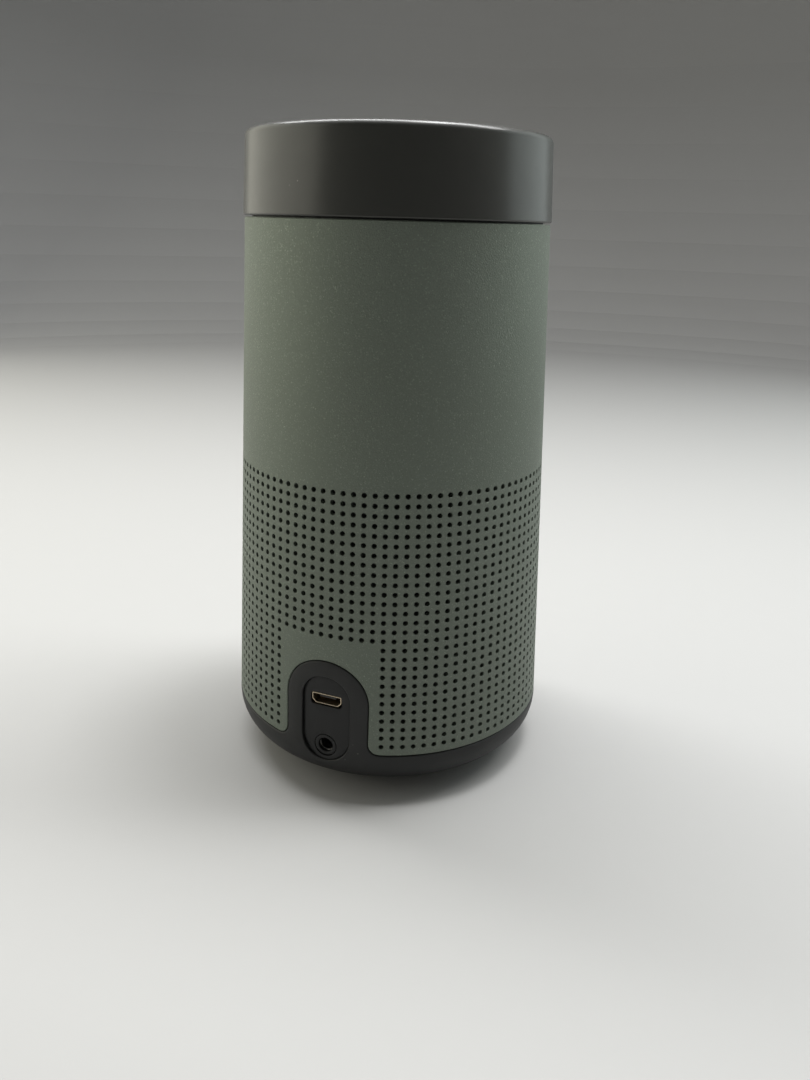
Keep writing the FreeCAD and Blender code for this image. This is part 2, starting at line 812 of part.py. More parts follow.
# ---------------------------------------------------------------- driver
def driver_basket():
    top_low = basket_top_z - basket_ring_thickness
    basket = turned(
        (basket_neck_radius - basket_wall, flange_low_z),
        (driver_flange_radius, flange_low_z),
        (driver_flange_radius, flange_top_z),
        (basket_neck_radius, flange_top_z),
        (basket_top_radius, top_low),
        (basket_top_radius, basket_top_z),
        (basket_bore_radius, basket_top_z),
        (basket_bore_radius, top_low),
        (basket_top_radius - basket_wall, top_low),
        (basket_neck_radius - basket_wall, flange_top_z),
    )
    low = flange_top_z + 2.0
    for turn in (0, 90, 180, 270):
        window = block((basket_bore_radius + 2, driver_flange_radius), (-7, 7), (low, low + 4.8))
        window.rotate(vec(0, 0, 0), vec(0, 0, 1), turn)
        basket = basket.cut(window)
    for spot in at_quarters(driver_screw_radius):
        basket = basket.cut(cylinder(small_screw_shank + screw_clear_gap, 0, flange_top_z + 1, *spot))
    return basket


def driver_gasket():
    ring = tube(driver_flange_radius, driver_opening_radius, flange_top_z, enclosure_bottom_z)
    for spot in at_quarters(driver_screw_radius):
        ring = ring.cut(cylinder(small_screw_shank + screw_clear_gap, 0, total_height, *spot))
    return ring


def driver_screws():
    tip = enclosure_bottom_z + enclosure_wall + 2
    size = (small_screw_shank, small_screw_head, small_screw_head_height)
    return group([screw(x, y, flange_low_z, tip, *size) for x, y in at_quarters(driver_screw_radius)])


def driver_top_plate():
    return tube(top_plate_radius, top_plate_bore, basket_top_z, top_plate_top_z)


def driver_magnet():
    return tube(magnet_radius, magnet_bore, top_plate_top_z, magnet_top_z)


def driver_yoke():
    back = cylinder(top_plate_radius, magnet_top_z, magnet_top_z + yoke_thickness)
    return joined([back, cylinder(pole_radius, basket_top_z + 0.2, magnet_top_z)])


def driver_terminals():
    """Small tag board on the basket's top ring, beside the top plate."""
    y_range = (-basket_top_radius - 7.5, -top_plate_radius - 0.1)
    return block((-4, 4), y_range, (basket_top_z, basket_top_z + tag_board_thickness))


def lead_spots():
    return [(-2.0, -basket_top_radius - 5.7), (2.0, -basket_top_radius - 5.7)]


def driver_leads():
    return group(cylinders(lead_spots(), lead_radius, basket_top_z + tag_board_thickness, board_z))


def voice_coil():
    high = magnet_top_z - driver_travel - coil_end_gap
    return tube(coil_outer_radius, coil_outer_radius - coil_wall, coil_low_z, high)


def driver_cone():
    rim_z = flange_top_z + 0.2
    neck_z = coil_low_z - 0.5
    cone = turned(
        (coil_outer_radius, neck_z),
        (cone_radius, rim_z),
        (cone_radius, rim_z + 0.6),
        (coil_outer_radius, neck_z + 0.8),
    )
    dome = turned(
        (0, neck_z - 2.3),
        ((coil_outer_radius * 0.55, neck_z - 1.65), (coil_outer_radius + 0.3, neck_z - 0.1)),
        (coil_outer_radius + 0.3, neck_z + 0.3),
        (coil_outer_radius, coil_low_z),
        ((coil_outer_radius * 0.55, neck_z - 1.1), (0, neck_z - 1.8)),
    )
    return joined([cone, dome])


def driver_surround():
    rim_z = flange_top_z + 0.2
    lip_r = basket_neck_radius - basket_wall
    mid = (cone_radius + lip_r) / 2
    thick = surround_thickness
    return turned(
        (cone_radius, rim_z + 0.6),
        (cone_radius, rim_z),
        ((mid, rim_z - 1.1), (lip_r, rim_z - 0.8)),
        (lip_r, rim_z - 0.8 + thick),
        ((mid, rim_z - 1.1 + thick), (cone_radius, rim_z + 0.6)),
    )


def driver_spider():
    low = coil_low_z + 0.7
    share = (low - flange_top_z) / (basket_height - basket_ring_thickness)
    outer = basket_neck_radius - basket_wall - share * (basket_neck_radius - basket_top_radius)
    return tube(outer - 0.3, coil_outer_radius, low, low + 0.5)


# ---------------------------------------------------------------- passive radiators, one facing +X and one -X
def radiator_pieces(side):
    """Frame, surround and plate of the radiator on one side, +1 for +X and -1 for -X."""

    def turned_x(*steps):
        face = closed_face(steps, lambda x, r: vec(side * x, r, radiator_z))
        return face.revolve(vec(0, 0, radiator_z), vec(1, 0, 0), 360)

    near = flat_x
    far = flat_x + radiator_frame_thickness
    frame = turned_x(
        (near, radiator_frame_bore),
        (far, radiator_frame_bore),
        (far, radiator_frame_radius),
        (near, radiator_frame_radius),
    )
    plate_near = flat_x + radiator_plate_offset
    plate_far = plate_near + radiator_plate_thickness
    plate = turned_x(
        (plate_near, 0),
        (plate_far, 0),
        (plate_far, radiator_plate_radius),
        (plate_near, radiator_plate_radius),
    )
    mid_r = (radiator_plate_radius + radiator_frame_bore) / 2
    start = plate_near + 0.4
    thick = surround_thickness
    surround = turned_x(
        (start, radiator_plate_radius),
        ((start + 2.2, mid_r), (start, radiator_frame_bore)),
        (start + thick, radiator_frame_bore),
        ((start + 2.2 + thick, mid_r), (start + thick, radiator_plate_radius)),
    )
    return frame, surround, plate


# ---------------------------------------------------------------- battery, boards and carrier
def battery_cells():
    return group(cylinders([(0, -cell_y), (0, cell_y)], cell_radius, cell_low_z, cell_top_z))


def battery_foam():
    reach = cell_y + cell_radius - 1
    return block((-cell_radius + 1, cell_radius - 1), (-reach, reach), (cell_top_z, board_z))


def board_posts():
    return [(x, y) for x in (-board_post_x, board_post_x) for y in (-board_post_y, board_post_y)]


def main_board():
    board = cylinder(main_board_r, board_z, board_top_z)
    for spot in board_posts():
        board = board.cut(cylinder(small_screw_shank + screw_clear_gap, 0, total_height, *spot))
    return board


def board_screws():
    size = (small_screw_shank, small_screw_head, small_screw_head_height)
    return group([screw(x, y, board_top_z, board_z - 4.5, *size) for x, y in board_posts()])


def shield_can():
    return block((-21, -5), (-9, 7), (board_top_z, board_top_z + 2.4))


def capacitors():
    spots = [(4.0, -16.0), (11.5, -16.0), (-4.0, -17.0), (20.0, -9.0)]
    return group(cylinders(spots, capacitor_radius, board_top_z, board_top_z + capacitor_height))


def power_inductors():
    half = 3.3
    spots = [(6.0, 8.0), (15.0, 8.0)]
    z_range = (board_top_z, board_top_z + 3.6)
    return group([block((x - half, x + half), (y - half, y + half), z_range) for x, y in spots])


def cap_carrier():
    """Ring that stands on the lid, centres the sleeve, holds the control board and takes the cap."""
    inner = carrier_r - carrier_wall
    ring = tube(carrier_r, inner, lid_top_z, carrier_top_z)
    plate = tube(carrier_r, carrier_opening_radius, carrier_top_z - carrier_plate, carrier_top_z)
    flange_r = sleeve_r(sleeve_top_z) - sleeve_wall - carrier_gap
    low = sleeve_top_z - carrier_flange_height
    flange = tube(flange_r, inner, low, sleeve_top_z)
    pieces = [ring, plate, flange]
    for angle in (45, 135, 225, 315):
        tab_z = (lid_top_z, lid_top_z + carrier_tab_thickness)
        tab = block((lid_screw_circle - 4, inner + 0.5), (-4.5, 4.5), tab_z)
        tab.rotate(vec(0, 0, 0), vec(0, 0, 1), angle)
        pieces.append(tab)
    for x, y in control_screw_spots():
        boss_low = carrier_top_z - carrier_plate - 3
        pieces.append(cylinder(2.2, boss_low, carrier_top_z - carrier_plate + 0.5, x, y))
    carrier = joined(pieces)
    for spot in at_quarters(lid_screw_circle):
        carrier = carrier.cut(cylinder(screw_shank + screw_clear_gap, 0, sleeve_top_z, *spot))
    for spot in control_screw_spots():
        hole_low = carrier_top_z - carrier_plate - 2.6
        carrier = carrier.cut(cylinder(small_screw_shank + screw_hole_gap, hole_low, total_height, *spot))
    half = flex_half_width + 0.8
    slot = block((-half, half), (inner - 2, carrier_r + 5), (lid_top_z - 1, board_top_z + 1.4))
    return carrier.cut(slot)


def control_screw_spots():
    return around(control_screw_radius, (30, 150, 270))


def control_board():
    board = cylinder(control_board_radius, carrier_top_z, control_top_z)
    for spot in control_screw_spots():
        board = board.cut(cylinder(small_screw_shank + screw_clear_gap, 0, total_height, *spot))
    return board


def control_screws():
    size = (small_screw_shank, small_screw_head, small_screw_head_height)
    tip = carrier_top_z - carrier_plate - 2.2
    return group([screw(x, y, control_top_z, tip, *size) for x, y in control_screw_spots()])


def switch_housings():
    half = switch_size / 2
    housings = []
    for _, x, y, _ in buttons:
        case = block((x - half, x + half), (y - half, y + half), (control_top_z, switch_top_z))
        hole_low = switch_top_z - nub_reach - button_travel - nub_floor_gap
        hole = cylinder(nub_radius + nub_gap, hole_low, switch_top_z + 1, x, y)
        housings.append(case.cut(hole))
    return group(housings)


# ---------------------------------------------------------------- cap and buttons
def top_cap():
    rim_z = total_height - cap_rim_round
    foot_r = cap_bottom_r - cap_foot_round
    foot_centre = (foot_r, cap_bottom_z + cap_foot_round)
    rim_r = cap_bottom_r - cap_slope * (rim_z - cap_bottom_z)
    rim_centre = (rim_r - cap_rim_round, rim_z)
    cap = turned(
        (cap_bore_r, cap_bottom_z),
        (foot_r, cap_bottom_z),
        (on_circle(foot_centre, cap_foot_round, 315), on_circle(foot_centre, cap_foot_round, 0)),
        (rim_r, rim_z),
        (on_circle(rim_centre, cap_rim_round, 60), on_circle(rim_centre, cap_rim_round, 120)),
        (dish_radius, panel_top_z),
        (0, panel_top_z),
        (0, panel_under_z),
        (cap_bore_r, panel_under_z),
    )
    for _, x, y, radius in buttons:
        cap = cap.cut(cylinder(radius + button_gap, panel_under_z - 1, total_height, x, y))
    for x, y in light_pipes:
        cap = cap.cut(cylinder(light_pipe_radius + light_pipe_gap, panel_under_z - 1, total_height, x, y))
    return cap


def light_pipe_group():
    return group(cylinders(light_pipes, light_pipe_radius, control_top_z, panel_top_z))


def button(x, y, radius):
    """Key with a retaining flange under the cap and a nub that reaches into its switch."""
    top = panel_top_z + button_proud
    flange_top = panel_under_z - button_flange_gap
    flange_low = flange_top - button_flange_thickness
    nub_low = switch_top_z - nub_reach
    edge = button_edge_round
    flange_r = radius + button_flange
    key = turned(
        (0, nub_low),
        (nub_radius, nub_low),
        (nub_radius, flange_low),
        (flange_r, flange_low),
        (flange_r, flange_top),
        (radius, flange_top),
        (radius, top - edge),
        (on_circle((radius - edge, top - edge), edge, 45), (radius - edge, top)),
        (0, top),
    )
    key.translate(vec(x, y, 0))
    return key


# ---------------------------------------------------------------- write every node
def all_nodes():
    nodes = {}
    singles = (
        perforated_sleeve, acoustic_scrim, rubber_base, base_frame, foot_plate, base_foot, tripod_insert,
        charging_contacts, charging_board, base_screws, port_panel, usb_socket, usb_tongue, aux_jack,
        aux_jack_bush, port_board, port_flex, acoustic_deflector, deflector_screws, enclosure_shell,
        enclosure_gasket, enclosure_lid, lid_screws, driver_basket, driver_gasket, driver_screws,
        driver_top_plate, driver_magnet, driver_yoke, driver_terminals, driver_leads, voice_coil,
        driver_cone, driver_surround, driver_spider, battery_cells, battery_foam, main_board,
        board_screws, shield_can, capacitors, power_inductors, cap_carrier, control_board,
        control_screws, switch_housings, top_cap,
    )
    for make in singles:
        nodes[make.__name__] = make()
    nodes["light_pipes"] = light_pipe_group()
    frames = []
    for name, side in (("right", 1), ("left", -1)):
        frame, surround, plate = radiator_pieces(side)
        frames.append(frame)
        nodes["radiator_surround_" + name] = surround
        nodes["radiator_plate_" + name] = plate
    nodes["radiator_frames"] = group(frames)
    for name, x, y, radius in buttons:
        nodes[name] = button(x, y, radius)
    return nodes


os.makedirs("parts", exist_ok=True)
for node_name, node_shape in all_nodes().items():
    if not node_shape.isValid():
        raise ValueError("not a valid shape: " + node_name)
    if any(solid.Volume <= 0 for solid in node_shape.Solids) or not node_shape.Solids:
        raise ValueError("not a closed solid: " + node_name)
    node_shape.exportStep("parts/" + node_name + ".step")
    print(node_name, len(node_shape.Solids), round(node_shape.Volume / 1000, 3))
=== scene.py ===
"""Looks of a portable bluetooth speaker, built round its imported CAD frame. All lengths are metres."""

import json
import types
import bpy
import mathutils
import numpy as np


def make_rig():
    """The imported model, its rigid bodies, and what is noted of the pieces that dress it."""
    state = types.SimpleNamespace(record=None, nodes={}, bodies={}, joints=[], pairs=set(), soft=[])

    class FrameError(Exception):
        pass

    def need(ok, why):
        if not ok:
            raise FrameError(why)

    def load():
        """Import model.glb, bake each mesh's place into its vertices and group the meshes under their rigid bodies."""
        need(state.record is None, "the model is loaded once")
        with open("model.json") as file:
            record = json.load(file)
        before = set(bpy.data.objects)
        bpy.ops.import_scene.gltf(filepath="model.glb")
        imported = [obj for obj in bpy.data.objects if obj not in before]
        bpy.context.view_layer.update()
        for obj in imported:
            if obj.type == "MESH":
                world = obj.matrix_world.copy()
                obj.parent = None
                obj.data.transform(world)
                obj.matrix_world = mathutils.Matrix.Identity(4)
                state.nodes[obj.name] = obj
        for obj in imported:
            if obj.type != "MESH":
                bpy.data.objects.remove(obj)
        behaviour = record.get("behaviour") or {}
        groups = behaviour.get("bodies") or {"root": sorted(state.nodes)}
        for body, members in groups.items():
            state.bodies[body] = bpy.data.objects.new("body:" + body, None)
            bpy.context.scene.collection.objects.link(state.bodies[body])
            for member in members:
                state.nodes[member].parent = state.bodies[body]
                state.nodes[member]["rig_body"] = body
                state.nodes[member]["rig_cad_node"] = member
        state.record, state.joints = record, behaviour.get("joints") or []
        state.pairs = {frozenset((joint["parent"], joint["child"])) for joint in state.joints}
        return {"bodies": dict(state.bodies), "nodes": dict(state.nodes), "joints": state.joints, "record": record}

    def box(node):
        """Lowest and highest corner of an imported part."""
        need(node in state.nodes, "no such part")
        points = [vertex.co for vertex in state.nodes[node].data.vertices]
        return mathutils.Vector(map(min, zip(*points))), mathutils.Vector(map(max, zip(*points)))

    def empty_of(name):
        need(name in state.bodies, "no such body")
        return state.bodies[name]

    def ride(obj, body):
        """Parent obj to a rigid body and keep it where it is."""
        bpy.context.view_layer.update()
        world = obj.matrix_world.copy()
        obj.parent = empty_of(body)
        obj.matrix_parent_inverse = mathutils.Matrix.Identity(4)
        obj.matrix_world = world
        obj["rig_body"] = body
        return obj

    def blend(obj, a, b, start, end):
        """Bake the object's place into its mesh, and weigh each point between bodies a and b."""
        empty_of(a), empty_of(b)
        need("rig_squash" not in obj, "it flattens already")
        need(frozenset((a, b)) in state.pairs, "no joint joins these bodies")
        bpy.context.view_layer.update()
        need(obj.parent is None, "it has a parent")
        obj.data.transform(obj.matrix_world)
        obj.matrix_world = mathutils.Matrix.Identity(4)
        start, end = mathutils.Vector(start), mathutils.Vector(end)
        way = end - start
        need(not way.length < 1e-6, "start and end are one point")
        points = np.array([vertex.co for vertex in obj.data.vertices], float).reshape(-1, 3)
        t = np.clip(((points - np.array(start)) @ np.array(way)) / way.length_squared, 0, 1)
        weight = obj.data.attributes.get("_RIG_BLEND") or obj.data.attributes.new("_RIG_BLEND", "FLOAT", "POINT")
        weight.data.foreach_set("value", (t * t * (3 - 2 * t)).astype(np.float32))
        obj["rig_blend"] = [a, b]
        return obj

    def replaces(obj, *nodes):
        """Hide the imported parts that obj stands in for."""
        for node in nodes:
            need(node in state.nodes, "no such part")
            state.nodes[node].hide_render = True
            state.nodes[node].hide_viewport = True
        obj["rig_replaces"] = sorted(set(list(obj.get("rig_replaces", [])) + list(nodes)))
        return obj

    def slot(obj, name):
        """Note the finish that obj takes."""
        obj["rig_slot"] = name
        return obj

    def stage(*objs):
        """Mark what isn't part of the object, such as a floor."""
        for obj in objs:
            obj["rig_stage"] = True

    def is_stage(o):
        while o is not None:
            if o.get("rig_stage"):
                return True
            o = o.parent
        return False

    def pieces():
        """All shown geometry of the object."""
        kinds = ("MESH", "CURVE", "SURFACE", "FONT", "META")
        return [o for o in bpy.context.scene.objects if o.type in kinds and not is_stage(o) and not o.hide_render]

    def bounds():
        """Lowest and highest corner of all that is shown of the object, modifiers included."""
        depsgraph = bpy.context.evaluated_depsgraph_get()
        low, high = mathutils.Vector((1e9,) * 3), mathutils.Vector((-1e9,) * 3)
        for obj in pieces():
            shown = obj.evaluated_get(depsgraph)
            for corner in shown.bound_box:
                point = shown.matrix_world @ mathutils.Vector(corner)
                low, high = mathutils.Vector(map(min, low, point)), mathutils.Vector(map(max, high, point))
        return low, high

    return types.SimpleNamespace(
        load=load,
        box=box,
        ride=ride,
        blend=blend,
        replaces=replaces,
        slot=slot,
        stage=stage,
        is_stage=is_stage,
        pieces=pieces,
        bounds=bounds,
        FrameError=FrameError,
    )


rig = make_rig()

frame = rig.load()
CAD_BOX = [list(corner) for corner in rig.bounds()]

import json
import math

import bmesh
import bpy
import numpy as np
from bpy.props import FloatProperty, FloatVectorProperty, IntProperty, PointerProperty
from mathutils import Matrix, Vector
from mathutils.geometry import delaunay_2d_cdt

bl_info = {
    "name": "Portable Speaker Looks",
    "version": (1, 0, 0),
    "blender": (4, 5, 0),
    "location": "View3D > Sidebar > Speaker",
    "description": "Builds the visible pieces, finishes and stage of a portable bluetooth speaker",
    "category": "Object",
}

MM = 0.001
NODES = frame["nodes"]


# ---------------------------------------------------------------- sizes read from the frame
def reach(node, low, high):
    """Largest radius among a node's points between two heights."""
    return max(math.hypot(v.co.x, v.co.y) for v in NODES[node].data.vertices if low <= v.co.z <= high)


def half_width(node, low, high):
    """Largest distance from the middle plane among a node's points between two heights."""
    return max(abs(v.co.x) for v in NODES[node].data.vertices if low <= v.co.z <= high)


def edge_points(node, z):
    return reach(node, z - 0.01 * MM, z + 0.01 * MM)


SLEEVE_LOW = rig.box("perforated_sleeve")[0].z
SLEEVE_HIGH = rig.box("perforated_sleeve")[1].z
SLEEVE_LOW_R = edge_points("perforated_sleeve", SLEEVE_LOW)
SLEEVE_HIGH_R = edge_points("perforated_sleeve", SLEEVE_HIGH)
CAP_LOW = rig.box("top_cap")[0].z
CAP_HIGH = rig.box("top_cap")[1].z
CAP_LOW_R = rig.box("top_cap")[1].x
BASE_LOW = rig.box("rubber_base")[0].z
BASE_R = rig.box("rubber_base")[1].x
SEAM = 0.15 * MM
ARCH_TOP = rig.box("rubber_base")[1].z + SEAM
ARCH_HALF = half_width("rubber_base", SLEEVE_LOW + 2 * MM, SLEEVE_LOW + 13 * MM) + SEAM
ARCH_CENTRE = ARCH_TOP - ARCH_HALF
PANEL_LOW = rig.box("port_panel")[0].z
PANEL_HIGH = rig.box("port_panel")[1].z
PANEL_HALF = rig.box("port_panel")[1].x
KEYS = ("power", "pairing", "source", "volume_down", "multifunction", "volume_up")


def cone_r(z):
    """Radius of the sleeve's outer surface at a height."""
    rise = (z - SLEEVE_LOW) / (SLEEVE_HIGH - SLEEVE_LOW)
    return SLEEVE_LOW_R + (SLEEVE_HIGH_R - SLEEVE_LOW_R) * rise


# ---------------------------------------------------------------- settings
def length(name, description, millimetres):
    return FloatProperty(name=name, description=description, default=millimetres * MM, min=0.0, precision=5,
                         subtype="DISTANCE", unit="LENGTH")


def tone(name, description, colour):
    return FloatVectorProperty(name=name, description=description, default=colour, size=3, min=0.0, max=1.0,
                               subtype="COLOR")


def turn(name, description, degrees):
    return FloatProperty(name=name, description=description, default=math.radians(degrees), subtype="ANGLE",
                         unit="ROTATION")


class SleeveSettings(bpy.types.PropertyGroup):
    columns: IntProperty(name="Columns", description="Holes round the sleeve", default=100, min=20)
    rows: IntProperty(name="Rows", description="Rows of holes", default=28, min=1)
    blank_columns: IntProperty(name="Blank Columns", description="Columns left plain over the sockets", default=10)
    blank_rows: IntProperty(name="Blank Rows", description="Rows left plain over the sockets", default=12)
    pitch: length("Row Pitch", "Height between two rows", 2.28)
    first_row: length("First Row", "Lowest row above the sleeve's bottom edge", 2.4)
    hole: length("Hole", "Diameter of a hole", 1.22)
    chamfer: length("Chamfer", "Width of the chamfer at a hole's mouth", 0.06)
    wall: length("Wall", "Thickness of the sleeve", 1.2)
    edge: length("Edge Chamfer", "Chamfer along the sleeve's edges", 0.22)
    arch_foot: length("Arch Foot", "Radius of the flare at the arch's feet", 2.8)


class BaseSettings(bpy.types.PropertyGroup):
    columns: IntProperty(name="Columns", description="Facets round the base", default=120, min=24)
    lower_round: length("Lower Round", "Radius of the base's lower outer edge", 9.0)
    wall: length("Wall", "Thickness of the rubber", 2.0)
    edge: length("Edge Round", "Round along the rubber's edges", 0.35)


class SocketSettings(bpy.types.PropertyGroup):
    panel_recess: length("Panel Recess", "Panel's surface below the rubber", 0.7)
    panel_wall: length("Panel Thickness", "Thickness of the socket panel", 2.2)
    panel_edge: length("Panel Edge", "Round along the panel's edges", 0.12)
    slot_gap: length("Slot Gap", "Space round the charging socket", 0.3)
    shell_wall: length("Shell Wall", "Sheet thickness of the charging socket's shell", 0.3)
    pin_pitch: length("Pin Pitch", "Distance between two contacts of the charging socket", 0.65)
    pin_count: IntProperty(name="Pins", description="Contacts in the charging socket", default=5, min=1)


class CapSettings(bpy.types.PropertyGroup):
    segments: IntProperty(name="Segments", description="Facets round the cap", default=144, min=24)
    slope: FloatProperty(name="Slope", description="Radius lost for each unit of height", default=0.06)
    foot_round: length("Foot Round", "Round at the cap's bottom edge", 0.4)
    rim_round: length("Rim Round", "Round at the cap's rim", 1.4)
    dish_radius: length("Dish Radius", "Radius of the flat panel inside the rim", 27.0)
    dish_depth: length("Dish Depth", "Panel below the rim's crest", 3.0)
    panel_wall: length("Panel Thickness", "Thickness of the cap's panel", 2.2)
    wall: length("Wall", "Thickness of the cap's band", 1.85)
    key_gap: length("Key Gap", "Space round a key", 0.3)


class KeySettings(bpy.types.PropertyGroup):
    segments: IntProperty(name="Segments", description="Facets round a key", default=64, min=12)
    edge: length("Edge Round", "Round at a key's top edge", 0.4)
    dish: length("Dish", "How far a key's middle is sunk", 0.12)
    flange: length("Flange", "How far the flange stands out under the cap", 1.0)
    icon_height: length("Icon Height", "How far an icon stands proud of its key", 0.06)
    icon_stroke: length("Icon Stroke", "Width of an icon's lines", 0.42)


class SuspensionSettings(bpy.types.PropertyGroup):
    sectors: IntProperty(name="Sectors", description="Wedges in each flexing ring", default=8, min=4, max=16)
    ripple: length("Ripple", "Height of the spider's corrugations each way", 0.34)
    cloth: length("Cloth", "Thickness of the spider", 0.4)
    rubber: length("Rubber", "Thickness of the surrounds", 0.5)


class FinishSettings(bpy.types.PropertyGroup):
    anodised: tone("Anodised", "Colour of the aluminium sleeve", (0.158, 0.180, 0.149))
    cap: tone("Cap", "Colour of the cap's soft coating", (0.0140, 0.0145, 0.0105))
    base: tone("Base", "Colour of the base's rubber", (0.0130, 0.0134, 0.0130))
    panel: tone("Panel", "Colour of the socket panel", (0.0040, 0.0042, 0.0042))
    icon: tone("Icon", "Colour of the icons", (0.30, 0.30, 0.28))


class StageSettings(bpy.types.PropertyGroup):
    floor: tone("Floor", "Colour of the floor", (0.37, 0.369, 0.362))
    surround: tone("Surround", "Colour of the surrounding light", (0.42, 0.42, 0.43))
    key: FloatProperty(name="Key Light", description="Power of the light overhead in watts", default=6.0, min=0.0)
    side: FloatProperty(name="Side Light", description="Power of the left light in watts", default=2.6, min=0.0)
    azimuth: turn("Azimuth", "Camera's place round the speaker, from +X", 111.69)
    distance: length("Distance", "Camera's distance from the axis", 212.27)
    height: length("Height", "Camera's height above the floor", 133.67)
    pitch: turn("Pitch", "How far the camera looks down", 20.553)
    yaw: turn("Yaw", "How far the camera looks to the right of the axis", 1.001)
    roll: turn("Roll", "How far the camera is rolled", 1.597)
    lens: FloatProperty(name="Lens", description="Focal length on a 36 mm frame", default=28.242,
                        subtype="DISTANCE_CAMERA")


# ---------------------------------------------------------------- node trees
class Term:
    """A socket that adds Math nodes when it is used in a formula."""

    def __init__(self, net, socket):
        self.net = net
        self.socket = socket

    def math(self, operation, *values):
        return self.net.term("ShaderNodeMath", {"operation": operation}, dict(enumerate((self,) + values)))

    def __add__(self, other):
        return self.math("ADD", other)

    def __sub__(self, other):
        return self.math("SUBTRACT", other)

    def __mul__(self, other):
        return self.math("MULTIPLY", other)

    def __truediv__(self, other):
        return self.math("DIVIDE", other)

    def __rsub__(self, other):
        return self.net.term("ShaderNodeMath", {"operation": "SUBTRACT"}, {0: other, 1: self})

    __radd__ = __add__
    __rmul__ = __mul__


class Net:
    """Adds nodes to a tree: their settings first, then the values or links of their sockets."""

    def __init__(self, tree):
        self.tree = tree

    def node(self, kind, settings=None, inputs=None):
        made = self.tree.nodes.new(kind)
        for name, value in (settings or {}).items():
            setattr(made, name, value)
        for key, value in (inputs or {}).items():
            if isinstance(value, Term):
                self.tree.links.new(value.socket, made.inputs[key])
            else:
                made.inputs[key].default_value = value
        return made

    def term(self, kind, settings=None, inputs=None, output=0):
        return Term(self, self.node(kind, settings, inputs).outputs[output])

    # shader patterns, all on Object coordinates
    def place(self, scale=(1.0, 1.0, 1.0), turned=(0.0, 0.0, 0.0)):
        here = self.term("ShaderNodeTexCoord", output="Object")
        return self.term("ShaderNodeMapping", {}, {"Vector": here, "Rotation": turned, "Scale": scale})

    def noise(self, scale, detail=3.0, rough=0.5, where=None):
        where = where or self.term("ShaderNodeTexCoord", output="Object")
        return self.term("ShaderNodeTexNoise", {},
                         {"Vector": where, "Scale": scale, "Detail": detail, "Roughness": rough})

    def cells(self, scale, feature="F1", where=None, output="Distance", spread=1.0):
        where = where or self.term("ShaderNodeTexCoord", output="Object")
        return self.term("ShaderNodeTexVoronoi", {"feature": feature},
                         {"Vector": where, "Scale": scale, "Randomness": spread}, output)

    def span(self, value, low, high, to_low=0.0, to_high=1.0):
        """Value carried from one range to another and held inside it."""
        return self.term("ShaderNodeMapRange", {"clamp": True},
                         {"Value": value, "From Min": low, "From Max": high, "To Min": to_low, "To Max": to_high})

    def mix(self, factor, first, second):
        """Colour between two colours."""
        return self.term("ShaderNodeMix", {"data_type": "RGBA"}, {0: factor, 6: first, 7: second}, 2)

    def bump(self, height, distance, strength=1.0):
        return self.term("ShaderNodeBump", {}, {"Height": height, "Distance": distance, "Strength": strength},
                         "Normal")


def shade(colour, factor, tint=(1.0, 1.0, 1.0)):
    return tuple(min(1.0, c * factor * t) for c, t in zip(colour, tint)) + (1.0,)


def finish(name, recipe, **constants):
    """Material whose recipe returns what drives the shader's sockets; the constants are set on the sockets."""
    made = bpy.data.materials.new(name)
    made.use_nodes = True
    net = Net(made.node_tree)
    shader = made.node_tree.nodes["Principled BSDF"]
    for key, value in constants.items():
        shader.inputs[key.replace("_", " ").title().replace("Ior", "IOR")].default_value = value
    for key, value in recipe(net).items():
        if isinstance(value, Term):
            made.node_tree.links.new(value.socket, shader.inputs[key])
        else:
            shader.inputs[key].default_value = value
    made.diffuse_color = shader.inputs["Base Color"].default_value
    if bpy.data.materials[name] is not made:
        plain = bpy.data.materials[name]
        plain.user_remap(made)
        bpy.data.materials.remove(plain)
        made.name = name
    return made


def grained(colour, grain, depth, rough=(0.5, 0.6), vary=0.12, cloud=60.0):
    """Recipe for moulded or cast stock: a cloudy tone, a fine grain and uneven gloss."""
    def recipe(net):
        clouds = net.noise(cloud, 4.0)
        fine = net.noise(grain, 2.0, 0.6)
        return {
            "Base Color": net.mix(net.span(clouds, 0.35, 0.65), shade(colour, 1 - vary), shade(colour, 1 + vary)),
            "Roughness": net.span(clouds * 0.6 + fine * 0.4, 0.35, 0.65, *rough),
            "Normal": net.bump(fine, depth),
        }
    return recipe


def anodised_recipe(colour):
    """Bead-blasted and anodised: pits of two sizes, and here and there a smoother speck with a painted highlight in
    its colour.
    """
    def recipe(net):
        blast = net.noise(2900.0, 3.0, 0.75)
        pits = net.cells(3400.0)
        clouds = net.noise(28.0, 5.0)
        # specks that are smoother, and that carry a painted highlight in their colour
        gloss_and_painted_glint = net.span(net.cells(4200.0, output="Color"), 0.74, 0.96)
        tone_now = net.mix(net.span(clouds, 0.3, 0.7), shade(colour, 0.95), shade(colour, 1.05, (0.99, 1.0, 1.01)))
        # painted highlight: the specks' colour is lifted towards nearly twice the sleeve's colour
        painted_glints = net.mix(gloss_and_painted_glint * 0.42, tone_now, shade(colour, 1.9))
        # colour darker where the blast grain is low
        darker_in_low_grain = net.mix(net.span(blast, 0.3, 0.55), shade(colour, 0.84), painted_glints)
        return {
            "Base Color": darker_in_low_grain,
            "Roughness": net.span(blast * 0.7 + clouds * 0.3, 0.3, 0.7, 0.58, 0.68) - gloss_and_painted_glint * 0.16,
            "Normal": net.bump(blast * 0.6 + pits * 0.4, 0.00009, 1.0),
        }
    return recipe


